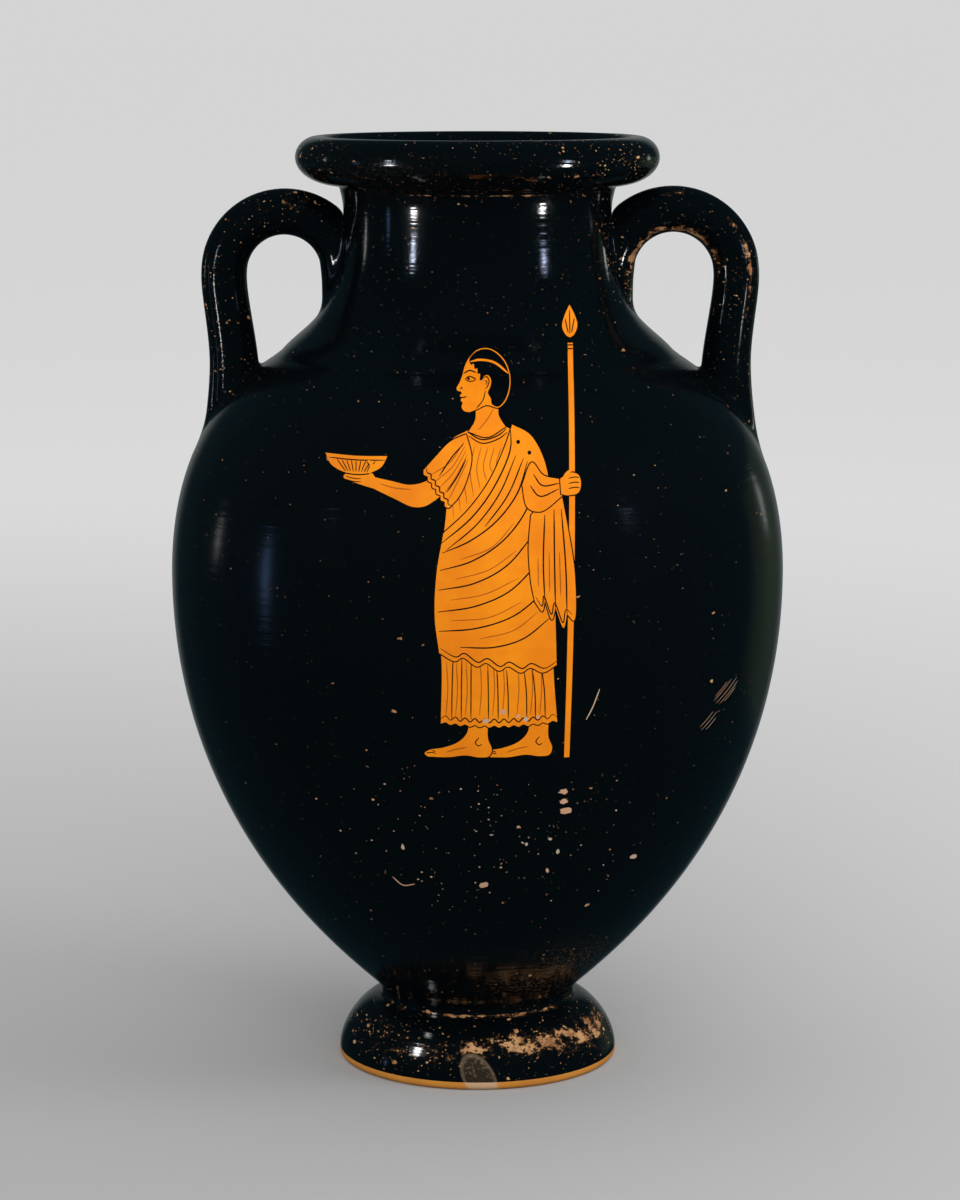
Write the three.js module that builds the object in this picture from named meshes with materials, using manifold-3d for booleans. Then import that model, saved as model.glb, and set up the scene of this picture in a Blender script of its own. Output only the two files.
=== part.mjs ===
// Two-handled storage jar of fired clay, glazed black, with a figure left in the clay's own colour.
// The body, neck and lip are thrown in one sweep, a cushion-shaped foot is turned below them, and two
// round handles rise from the neck, arch over and come down on the shoulder. Foot and handles are luted
// on before the firing, so the whole jar is one hollow solid, open at the mouth.
// Millimetres, +Z up, handles along X. The origin is the centre of the ring that the foot rests on.
import * as THREE from "three";
import { mergeVertices } from "three/addons/utils/BufferGeometryUtils.js";
import Module from "manifold-3d";

// Driving dimensions. Radii are from the jar's axis, heights from the surface that it stands on.
const HEIGHT = 415;
const DEGREE = Math.PI / 180;

// The foot: a flat ring to rest on round a hollowed underside.
const FOOT = { radius: 62.8, edge: 1.5, ring: 11, hollow: 27 };

// The outer curve of foot and body passes through stations. At each, before and after say how far
// the curve is pulled along its direction there. The foot's cushion starts over a band of bare clay.
const BAND = { radius: FOOT.radius, height: 3.5, slope: 90 * DEGREE, after: 11 };
const CUSHION = { radius: 43.6, height: 28, slope: 180 * DEGREE, before: 8 };
const STEM = { radius: 46, height: 35, slope: 42.5 * DEGREE, after: 27 };
const BELLY = { radius: 136.2, height: 222, slope: 90 * DEGREE, before: 110, after: 76 };
const SHOULDER = { radius: 87, height: 320.6, slope: 129 * DEGREE, before: 5, after: 16 };
const NECK = { radius: 59, height: 380, slope: 90 * DEGREE, before: 45 };

// The lip: a swelling roll over the neck, fuller below its widest line than above it.
const LIP = { radius: 80, root: 61.2, crest: 70, bottom: HEIGHT - 21.5, widest: HEIGHT - 9.3 };
const CREST_FLAT = 0.6;
const THROAT = { radius: 64.5, height: HEIGHT - 4, slope: 45 * DEGREE, before: 12 };

// The wall: thick at the floor, thin at the belly, a little thicker at shoulder and neck.
const WALL = { belly: 5.5, shoulder: 6.2, neck: 6.2 };
const FLOOR = { height: 44, edgeRadius: 42, edgeHeight: 47 };

// A handle: a round bar whose arch springs from the neck's line and whose outer leg leans in to the
// shoulder. The two were rolled and bent by hand, and the right one reaches out a little further.
const HANDLE = { radius: 10.1, neckLine: 58, neckRoot: 336, spring: 355, waist: 315, lean: 4, root: 272 };
const HANDLE_REACH = { left: 111.8, right: 114.2 };
const ROOT_SWELL = { shoulder: 4.5, neck: 1.6, share: 0.4 };

// Facets: round the axis, along each curve, and round and along a handle.
const TURN_STEPS = 60;
const CURVE_STEPS = { lower: 9, upper: 8, throat: 7, roll: 5, inner: 6, mouth: 3 };
const HANDLE_SIDES = 14;
const HANDLE_STEPS = 24;
const ARCH_POINTS = 5;

// A station's point, and the pull points on either side of it.
const at = (station) => new THREE.Vector2(station.radius, station.height);
const heading = (station) => new THREE.Vector2(Math.cos(station.slope), Math.sin(station.slope));
const along = (station, reach) => at(station).addScaledVector(heading(station), reach);

// The curve from one station to the next.
function sweep(from, to, steps) {
  const pulls = [along(from, from.after), along(to, -to.before)];
  return new THREE.CubicBezierCurve(at(from), ...pulls, at(to)).getPoints(steps);
}

// A part of the lip's roll: an ellipse about a point on its widest line, from one angle to another.
function roll(quarter, fromAngle, toAngle) {
  const { radius, width, rise } = quarter;
  const curve = new THREE.EllipseCurve(radius, LIP.widest, width, rise, fromAngle, toAngle);
  return curve.getPoints(CURVE_STEPS.roll);
}

// The outside of the jar, from the middle of its underside to the crest of the lip, closed over the mouth.
function outerProfile() {
  const lower = { radius: LIP.root, width: LIP.radius - LIP.root, rise: LIP.widest - LIP.bottom };
  const upper = { radius: LIP.crest, width: LIP.radius - LIP.crest, rise: HEIGHT - LIP.widest };
  return [
    new THREE.Vector2(0, FOOT.hollow),
    new THREE.Vector2(CUSHION.radius * 0.6, FOOT.hollow * 0.7),
    new THREE.Vector2(FOOT.radius - FOOT.edge - FOOT.ring, 0),
    new THREE.Vector2(FOOT.radius - FOOT.edge, 0),
    new THREE.Vector2(FOOT.radius, FOOT.edge),
    ...sweep(BAND, CUSHION, CURVE_STEPS.roll),
    ...sweep(STEM, BELLY, CURVE_STEPS.lower),
    ...sweep(BELLY, SHOULDER, CURVE_STEPS.upper).slice(1),
    ...sweep(SHOULDER, NECK, CURVE_STEPS.throat).slice(1),
    new THREE.Vector2(LIP.root, LIP.bottom),
    ...roll(lower, -80 * DEGREE, 0),
    ...roll(upper, 0, 90 * DEGREE).slice(1),
    new THREE.Vector2(0, HEIGHT),
  ];
}

// The hollow, from the middle of the floor to the throat, and on through the mouth.
function hollowProfile() {
  const floorEdge = { ...STEM, radius: FLOOR.edgeRadius, height: FLOOR.edgeHeight };
  const belly = { ...BELLY, radius: BELLY.radius - WALL.belly };
  const shoulder = {
    ...SHOULDER,
    radius: SHOULDER.radius - WALL.shoulder * Math.sin(SHOULDER.slope),
    height: SHOULDER.height + WALL.shoulder * Math.cos(SHOULDER.slope),
  };
  const neck = { ...NECK, radius: NECK.radius - WALL.neck, after: 14 };
  const above = HEIGHT + LIP.radius;
  return [
    new THREE.Vector2(0, FLOOR.height),
    ...sweep(floorEdge, belly, CURVE_STEPS.inner),
    ...sweep(belly, shoulder, CURVE_STEPS.inner).slice(1),
    ...sweep(shoulder, neck, CURVE_STEPS.inner).slice(1),
    ...sweep(neck, THROAT, CURVE_STEPS.mouth).slice(1),
    new THREE.Vector2(LIP.crest - CREST_FLAT, HEIGHT),
    new THREE.Vector2(LIP.crest - CREST_FLAT, above),
    new THREE.Vector2(0, above),
  ];
}

// A profile turned on the wheel, with the axis upright.
function turned(profile) {
  return new THREE.LatheGeometry(profile, TURN_STEPS).rotateX(90 * DEGREE);
}

// A handle's middle line in the upright plane through the axis: up from the neck, over the arch and
// down to the shoulder.
function handleLine(side, reach) {
  const archRadius = (reach - HANDLE.neckLine) / 2;
  const archCentre = HANDLE.neckLine + archRadius;
  const points = [new THREE.Vector3(HANDLE.neckLine - 1, 0, HANDLE.neckRoot)];
  for (let i = 0; i < ARCH_POINTS; i += 1) {
    const angle = Math.PI * (1 - i / (ARCH_POINTS - 1));
    const out = archCentre + archRadius * Math.cos(angle);
    points.push(new THREE.Vector3(out, 0, HANDLE.spring + archRadius * Math.sin(angle)));
  }
  points.push(new THREE.Vector3(reach - HANDLE.lean, 0, HANDLE.waist));
  points.push(new THREE.Vector3(reach - HANDLE.lean + 1, 0, HANDLE.root));
  points.forEach((point) => point.setX(point.x * side));
  return new THREE.CatmullRomCurve3(points, false, "centripetal");
}

// The bar's radius at a share of its length: it swells towards both roots, more at the shoulder.
function handleRadius(share) {
  const swell = (distance) => Math.max(0, 1 - distance / ROOT_SWELL.share) ** 2;
  return HANDLE.radius + ROOT_SWELL.neck * swell(share) + ROOT_SWELL.shoulder * swell(1 - share);
}

// A round bar of changing radius along a line in the XZ plane, closed at both ends.
function bar(line) {
  const across = new THREE.Vector3(0, 1, 0);
  const positions = [];
  const faces = [];
  for (let step = 0; step <= HANDLE_STEPS; step += 1) {
    const share = step / HANDLE_STEPS;
    const centre = line.getPointAt(share);
    const outward = new THREE.Vector3().crossVectors(line.getTangentAt(share), across);
    for (let side = 0; side < HANDLE_SIDES; side += 1) {
      const angle = (2 * Math.PI * side) / HANDLE_SIDES;
      const spoke = across.clone().multiplyScalar(Math.sin(angle));
      spoke.addScaledVector(outward, Math.cos(angle)).multiplyScalar(handleRadius(share));
      positions.push(...spoke.add(centre).toArray());
    }
  }
  for (let step = 0; step < HANDLE_STEPS; step += 1) {
    for (let side = 0; side < HANDLE_SIDES; side += 1) {
      const here = step * HANDLE_SIDES + side;
      const next = step * HANDLE_SIDES + ((side + 1) % HANDLE_SIDES);
      faces.push(here, here + HANDLE_SIDES, next, next, here + HANDLE_SIDES, next + HANDLE_SIDES);
    }
  }
  const last = HANDLE_STEPS * HANDLE_SIDES;
  for (let side = 1; side < HANDLE_SIDES - 1; side += 1) {
    faces.push(0, side, side + 1, last, last + side + 1, last + side);
  }
  const geometry = new THREE.BufferGeometry();
  geometry.setAttribute("position", new THREE.Float32BufferAttribute(positions, 3));
  return geometry.setIndex(faces);
}

const wasm = await Module();
wasm.setup();

// A closed geometry as a solid that can be joined and cut.
function solid(geometry) {
  const plain = geometry.clone();
  plain.deleteAttribute("normal");
  plain.deleteAttribute("uv");
  const merged = mergeVertices(plain, 1e-3);
  const mesh = new wasm.Mesh({
    numProp: 3,
    vertProperties: new Float32Array(merged.attributes.position.array),
    triVerts: new Uint32Array(merged.index.array),
  });
  return new wasm.Manifold(mesh);
}

// A solid's faces as a geometry for a mesh.
function geometryOf(made) {
  const mesh = made.getMesh();
  const geometry = new THREE.BufferGeometry();
  geometry.setAttribute("position", new THREE.BufferAttribute(mesh.vertProperties, mesh.numProp));
  geometry.setIndex(new THREE.BufferAttribute(mesh.triVerts, 1));
  geometry.computeVertexNormals();
  return geometry;
}

// The jar: the turned body with its two handles, hollowed from the mouth down.
function jar() {
  const left = solid(bar(handleLine(-1, HANDLE_REACH.left)));
  const right = solid(bar(handleLine(1, HANDLE_REACH.right)));
  const body = solid(turned(outerProfile()));
  return body.add(left).add(right).subtract(solid(turned(hollowProfile())));
}

const blackGlaze = new THREE.MeshStandardMaterial({ color: 0x06080a, roughness: 0.18, metalness: 0 });
const amphora = new THREE.Mesh(geometryOf(jar()), blackGlaze);
amphora.name = "amphora";

const part = new THREE.Group();
part.add(amphora);

export default part;
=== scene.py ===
"""A red-figure amphora: black-glazed clay jar with a figure left in the clay's own colour.

The jar's skin is laid out flat, with the turn angle one way and the length of the profile the other.
The painted figure is cut into that sheet as areas of its own finish, the sheet is wrapped round the
axis along the profile, and the two handles are lofted between the openings that the sheet leaves for
their roots. Sizes are in millimetres until a mesh is made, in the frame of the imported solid: +Z up,
the painted side to -Y.
"""

import logging
import math
import random
from dataclasses import dataclass, field
from enum import Enum
from typing import Iterable, Sequence

import bmesh
import bpy
import numpy as np
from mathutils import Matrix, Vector
from mathutils.geometry import delaunay_2d_cdt


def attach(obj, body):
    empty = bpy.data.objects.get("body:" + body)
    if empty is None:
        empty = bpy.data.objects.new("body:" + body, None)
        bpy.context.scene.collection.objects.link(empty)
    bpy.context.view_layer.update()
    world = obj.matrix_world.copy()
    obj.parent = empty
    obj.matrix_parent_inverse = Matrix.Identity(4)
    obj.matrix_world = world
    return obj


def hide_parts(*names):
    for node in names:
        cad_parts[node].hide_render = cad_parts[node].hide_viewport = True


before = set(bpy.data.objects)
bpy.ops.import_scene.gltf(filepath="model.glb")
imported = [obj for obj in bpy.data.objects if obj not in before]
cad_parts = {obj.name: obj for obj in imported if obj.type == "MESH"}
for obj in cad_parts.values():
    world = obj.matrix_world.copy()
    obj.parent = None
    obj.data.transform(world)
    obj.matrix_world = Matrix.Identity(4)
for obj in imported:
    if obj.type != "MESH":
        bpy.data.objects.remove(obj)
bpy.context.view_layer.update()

LOG = logging.getLogger("amphora")
MM = 0.001
Point = tuple[float, float]
Colour = tuple[float, float, float, float]


class Finish(Enum):
    """The finishes of the jar's skin, in the order of its material slots."""

    GLAZE = 0
    CLAY = 1
    WASH = 2
    BARE = 3
    BAND = 4
    CHIP = 5
    CUT = -1


class Zone(Enum):
    """The stretches of the profile, from the middle of the underside to the middle of the floor."""

    UNDERSIDE = "underside"
    BAND = "band"
    FOOT = "foot"
    BODY = "body"
    LIP = "lip"
    THROAT = "throat"
    INSIDE = "inside"


ZONE_FINISH = {
    Zone.UNDERSIDE: Finish.BARE,
    Zone.BAND: Finish.BAND,
    Zone.FOOT: Finish.GLAZE,
    Zone.BODY: Finish.GLAZE,
    Zone.LIP: Finish.GLAZE,
    Zone.THROAT: Finish.GLAZE,
    Zone.INSIDE: Finish.BARE,
}


def bezier(start: Point, pull_a: Point, pull_b: Point, end: Point, count: int = 60) -> np.ndarray:
    """Sample a cubic curve.

    Args:
        start: first point.
        pull_a: point that the curve leaves towards.
        pull_b: point that the curve arrives from.
        end: last point.
        count: number of samples.

    Returns:
        The samples, one row each.
    """
    t = np.linspace(0.0, 1.0, count)[:, None]
    a, b, c, d = (np.asarray(p, float) for p in (start, pull_a, pull_b, end))
    return (1 - t) ** 3 * a + 3 * (1 - t) ** 2 * t * b + 3 * (1 - t) * t**2 * c + t**3 * d


def spline(points: Sequence[Sequence[float]], step: float, closed: bool = False) -> np.ndarray:
    """Draw a smooth line through points, with even tension at near and far points.

    Args:
        points: the points that the line passes through.
        step: longest distance between samples.
        closed: whether the line returns to its first point.

    Returns:
        The samples, one row each; a closed line doesn't repeat its first point.
    """
    given = np.asarray(points, float)
    if closed:
        run = np.vstack([given[-1], given, given[0], given[1]])
    else:
        run = np.vstack([2 * given[0] - given[1], given, 2 * given[-1] - given[-2]])
    rows = []
    for i in range(1, len(run) - 2):
        p = run[i - 1 : i + 3]
        knots = np.concatenate([[0.0], np.cumsum(np.sqrt(np.linalg.norm(np.diff(p, axis=0), axis=1)) + 1e-9)])
        count = max(1, math.ceil(np.linalg.norm(p[2] - p[1]) / step))
        t = np.linspace(knots[1], knots[2], count, endpoint=False)[:, None]

        def mix(a: np.ndarray, b: np.ndarray, low: float, high: float) -> np.ndarray:
            """Blend two points or lines between two knots."""
            return ((high - t) * a + (t - low) * b) / (high - low)

        first = [mix(p[k], p[k + 1], knots[k], knots[k + 1]) for k in range(3)]
        second = [mix(first[k], first[k + 1], knots[k], knots[k + 2]) for k in range(2)]
        rows.append(mix(second[0], second[1], knots[1], knots[2]))
    if not closed:
        rows.append(given[-1:])
    return np.vstack(rows)


def outline(*runs: Sequence[Point], step: float = 1.0) -> np.ndarray:
    """Join smooth runs into a closed outline with a corner wherever two runs meet.

    Args:
        runs: the runs, each starting where the one before it ends.
        step: longest distance between samples.

    Returns:
        The outline's points.
    """
    return np.vstack([spline(run, step)[:-1] for run in runs])


def ribbon(points: Sequence[Point], width: float, step: float = 0.8, taper: float = 0.45) -> np.ndarray:
    """Outline a drawn stroke.

    Args:
        points: points that the stroke passes through.
        width: full width of the stroke.
        step: longest distance between samples.
        taper: share of the width that is left at both ends.

    Returns:
        The stroke's outline.
    """
    line = spline(points, step)
    along = np.gradient(line, axis=0)
    along /= np.linalg.norm(along, axis=1, keepdims=True) + 1e-12
    across = np.stack([-along[:, 1], along[:, 0]], axis=1)
    share = np.linspace(0.0, 1.0, len(line))
    swell = taper + (1 - taper) * np.clip(np.minimum(share, 1 - share) * 6, 0, 1)
    half = across * (0.5 * width * swell)[:, None]
    return np.vstack([line + half, (line - half)[::-1]])


def area(loop: np.ndarray) -> float:
    """Return a loop's signed area."""
    x, y = loop[:, 0], loop[:, 1]
    return 0.5 * float(np.sum(x * np.roll(y, -1) - np.roll(x, -1) * y))


def grown(loop: np.ndarray, by: float) -> np.ndarray:
    """Move a loop's points outwards.

    Args:
        loop: the outline's points.
        by: distance, negative to shrink.

    Returns:
        The moved points.
    """
    along = np.roll(loop, -1, axis=0) - np.roll(loop, 1, axis=0)
    along /= np.linalg.norm(along, axis=1, keepdims=True) + 1e-12
    out = np.stack([along[:, 1], -along[:, 0]], axis=1)
    return loop + out * by * math.copysign(1.0, area(loop))


def enclosed(loop: np.ndarray, points: np.ndarray) -> np.ndarray:
    """Tell which points a loop winds round.

    Args:
        loop: the outline's points.
        points: the points to test.

    Returns:
        One truth value for each point.
    """
    low, high = loop.min(axis=0), loop.max(axis=0)
    near = np.nonzero(np.all((points >= low) & (points <= high), axis=1))[0]
    found = np.zeros(len(points), bool)
    if len(near) == 0:
        return found
    x, y = points[near, 0][:, None], points[near, 1][:, None]
    ax, ay = loop[:, 0][None], loop[:, 1][None]
    bx, by = np.roll(ax, -1, axis=1), np.roll(ay, -1, axis=1)
    left = (bx - ax) * (y - ay) - (x - ax) * (by - ay)
    winding = ((ay <= y) & (by > y) & (left > 0)).sum(1) - ((ay > y) & (by <= y) & (left < 0)).sum(1)
    found[near] = winding != 0
    return found


@dataclass(frozen=True)
class Station:
    """A point that the profile passes: radius, height, heading in degrees and how far it pulls the curve."""

    radius: float
    height: float
    heading: float
    before: float = 0.0
    after: float = 0.0

    @property
    def point(self) -> Point:
        """The station's place in the profile's plane."""
        return (self.radius, self.height)

    def pulled(self, reach: float) -> Point:
        """The point at a distance along the heading."""
        turn = math.radians(self.heading)
        return (self.radius + reach * math.cos(turn), self.height + reach * math.sin(turn))

    def to(self, other: "Station") -> np.ndarray:
        """The curve from this station to another."""
        return bezier(self.point, self.pulled(self.after), other.pulled(-other.before), other.point)


@dataclass(frozen=True)
class Stretch:
    """A stretch of the profile: its zone, its line and the number of mesh rings along it."""

    zone: Zone
    line: np.ndarray
    rings: int


@dataclass
class Profile:
    """The jar's section, as one line from the underside's middle, over the lip, to the floor's middle."""

    height: float = 415.0
    hollow: float = 27.0
    ring_inner: float = 50.3
    ring_outer: float = 61.3
    band: Station = Station(62.8, 3.5, 90.0, after=11.0)
    cushion: Station = Station(43.6, 28.0, 180.0, before=8.0)
    stem: Station = Station(46.0, 35.0, 42.5, before=3.0, after=27.0)
    belly: Station = Station(136.2, 222.0, 90.0, before=110.0, after=76.0)
    shoulder: Station = Station(87.0, 320.6, 129.0, before=5.0, after=16.0)
    neck: Station = Station(59.0, 380.0, 90.0, before=45.0, after=8.0)
    collar: Station = Station(60.8, 393.2, 80.0, before=4.0)
    lip_radius: float = 80.0
    lip_root: float = 61.2
    lip_crest: float = 70.0
    lip_bottom: float = 393.5
    lip_widest: float = 405.7
    throat: Station = Station(64.5, 411.0, -135.0, before=3.0, after=12.0)
    wall_belly: float = 5.5
    wall_shoulder: float = 6.2
    wall_neck: float = 6.2
    floor_edge: Station = Station(42.0, 47.0, 222.5, before=27.0, after=10.0)
    floor_height: float = 44.0
    glaze_inside: float = 352.0
    pitch: float = 0.5
    soften: float = 0.7

    def __post_init__(self) -> None:
        """Lay the line, soften its corners and find the stations of the mesh rings."""
        stretches = self._stretches()
        line, marks, zones = [], [0.0], []
        for stretch in stretches:
            line.append(stretch.line if not line else stretch.line[1:])
            marks.append(marks[-1] + float(np.linalg.norm(np.diff(stretch.line, axis=0), axis=1).sum()))
            zones.append(stretch.zone)
        raw = np.vstack(line)
        run = np.concatenate([[0.0], np.cumsum(np.linalg.norm(np.diff(raw, axis=0), axis=1))])
        count = int(run[-1] / self.pitch)
        even = np.linspace(0.0, run[-1], count + 1)
        even_line = np.stack([np.interp(even, run, raw[:, k]) for k in range(2)], axis=1)
        smooth = self._softened(even_line)
        chord = np.linalg.norm(np.diff(smooth, axis=0), axis=1)
        self.length = np.concatenate([[0.0], np.cumsum(chord)])
        self.line = smooth
        rate = self.length[-1] / run[-1]
        self.marks = [m * rate for m in marks]
        self.zones = zones
        slope = np.gradient(smooth, axis=0)
        slope /= np.linalg.norm(slope, axis=1, keepdims=True)
        self.normal = np.stack([slope[:, 1], -slope[:, 0]], axis=1)
        self.normal[0], self.normal[-1] = (0.0, -1.0), (0.0, 1.0)
        spans = zip(self.marks, self.marks[1:], stretches)
        rings = [np.linspace(a, b, stretch.rings, endpoint=False) for a, b, stretch in spans]
        self.rings = np.concatenate([*rings, [self.length[-1]]])
        first, last = self.mark_of(Zone.BODY)
        wall = (self.length >= first) & (self.length <= last)
        self._wall_radius, self._wall_height = smooth[wall, 0], smooth[wall, 1]
        self._wall_length = self.length[wall]

    def _roll(self, middle: float, rise: float, start: float, end: float) -> np.ndarray:
        """Draw a part of the lip's roll.

        Args:
            middle: radius of the ellipse's middle, on the lip's widest line.
            rise: half of the ellipse's height.
            start: first angle in degrees.
            end: last angle in degrees.

        Returns:
            The points of that part.
        """
        turn = np.radians(np.linspace(start, end, 40))
        wide = self.lip_radius - middle
        return np.stack([middle + wide * np.cos(turn), self.lip_widest + rise * np.sin(turn)], axis=1)

    def _stretches(self) -> list[Stretch]:
        """List the stretches of the section in order."""
        foot = bezier((0.0, self.hollow), (24.0, self.hollow - 1.0), (41.0, 10.0), (self.ring_inner, 0.0))
        edge = np.array([(self.ring_outer, 0.0), (self.band.radius, 1.5), self.band.point])
        lower = self._roll(self.lip_root, self.lip_widest - self.lip_bottom, -80.0, 0.0)
        upper = self._roll(self.lip_crest, self.height - self.lip_widest, 0.0, 90.0)
        groove = bezier(self.cushion.point, (43.5, 30.0), self.stem.pulled(-3.0), self.stem.point)
        crest = Station(self.lip_crest, self.height, 180.0, after=2.5)
        turn = math.radians(self.shoulder.heading)
        inner_neck = Station(self.neck.radius - self.wall_neck, self.neck.height, -90.0, 14.0, 45.0)
        inner_shoulder = Station(
            self.shoulder.radius - self.wall_shoulder * math.sin(turn),
            self.shoulder.height + self.wall_shoulder * math.cos(turn),
            self.shoulder.heading - 180.0,
            16.0,
            5.0,
        )
        inner_belly = Station(self.belly.radius - self.wall_belly, self.belly.height, -90.0, 76.0, 110.0)
        middle = (0.0, self.floor_height)
        floor = bezier(self.floor_edge.point, self.floor_edge.pulled(8.0), (18.0, self.floor_height), middle)
        return [
            Stretch(Zone.UNDERSIDE, foot, 9),
            Stretch(Zone.UNDERSIDE, np.array([(self.ring_inner, 0.0), (self.ring_outer, 0.0)]), 4),
            Stretch(Zone.BAND, edge, 5),
            Stretch(Zone.FOOT, self.band.to(self.cushion), 26),
            Stretch(Zone.FOOT, groove, 9),
            Stretch(Zone.BODY, self.stem.to(self.belly), 44),
            Stretch(Zone.BODY, self.belly.to(self.shoulder), 28),
            Stretch(Zone.BODY, self.shoulder.to(self.neck), 22),
            Stretch(Zone.LIP, self.neck.to(self.collar), 14),
            Stretch(Zone.LIP, np.array([self.collar.point, tuple(lower[0])]), 3),
            Stretch(Zone.LIP, lower, 18),
            Stretch(Zone.LIP, upper, 12),
            Stretch(Zone.LIP, crest.to(self.throat), 6),
            Stretch(Zone.THROAT, self.throat.to(inner_neck), 12),
            Stretch(Zone.INSIDE, inner_neck.to(inner_shoulder), 12),
            Stretch(Zone.INSIDE, inner_shoulder.to(inner_belly), 14),
            Stretch(Zone.INSIDE, inner_belly.to(self.floor_edge), 22),
            Stretch(Zone.INSIDE, floor, 8),
        ]

    def _softened(self, line: np.ndarray) -> np.ndarray:
        """Round a line's corners, keeping its ends on the axis."""
        reach = int(4 * self.soften / self.pitch)
        steps = np.arange(-reach, reach + 1) * self.pitch
        weight = np.exp(-0.5 * (steps / self.soften) ** 2)
        weight /= weight.sum()
        mirror = np.array([-1.0, 1.0])
        padded = np.vstack([line[reach:0:-1] * mirror, line, line[-2 : -reach - 2 : -1] * mirror])
        smooth = np.stack([np.convolve(padded[:, k], weight, mode="valid") for k in range(2)], axis=1)
        smooth[0, 0] = smooth[-1, 0] = 0.0
        smooth[:, 1] = np.maximum(smooth[:, 1], 0.0)
        return smooth

    def mark_of(self, zone: Zone) -> tuple[float, float]:
        """Return where a zone starts and ends along the line."""
        spans = [(a, b) for a, b, z in zip(self.marks, self.marks[1:], self.zones) if z is zone]
        return spans[0][0], spans[-1][1]

    def zone_at(self, length: float) -> Zone:
        """Return the zone at a length along the line."""
        index = int(np.searchsorted(self.marks, length, side="right")) - 1
        return self.zones[min(max(index, 0), len(self.zones) - 1)]

    def radius_at(self, height: np.ndarray) -> np.ndarray:
        """Return the outer wall's radius at a height."""
        return np.interp(height, self._wall_height, self._wall_radius)

    def length_at(self, height: np.ndarray) -> np.ndarray:
        """Return the length along the line of the outer wall at a height."""
        return np.interp(height, self._wall_height, self._wall_length)

    def place(self, turn: np.ndarray, length: np.ndarray) -> np.ndarray:
        """Wrap points of the sheet round the axis.

        Args:
            turn: turn angles in radians, 0 at the painted front.
            length: lengths along the line.

        Returns:
            The points in space, one row each.
        """
        radius = np.interp(length, self.length, self.line[:, 0])
        height = np.interp(length, self.length, self.line[:, 1])
        return np.stack([radius * np.sin(turn), -radius * np.cos(turn), height], axis=-1)

    def facing(self, turn: np.ndarray, length: np.ndarray) -> np.ndarray:
        """Return the outward directions at points of the sheet."""
        out = np.interp(length, self.length, self.normal[:, 0])
        up = np.interp(length, self.length, self.normal[:, 1])
        made = np.stack([out * np.sin(turn), -out * np.cos(turn), up], axis=-1)
        return made / np.linalg.norm(made, axis=-1, keepdims=True)

    def on_front(self, loop: np.ndarray) -> np.ndarray:
        """Lay a front view's points on the sheet, as (turn, length)."""
        radius = self.radius_at(loop[:, 1])
        return np.stack([np.arcsin(np.clip(loop[:, 0] / radius, -1, 1)), self.length_at(loop[:, 1])], axis=1)


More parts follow.
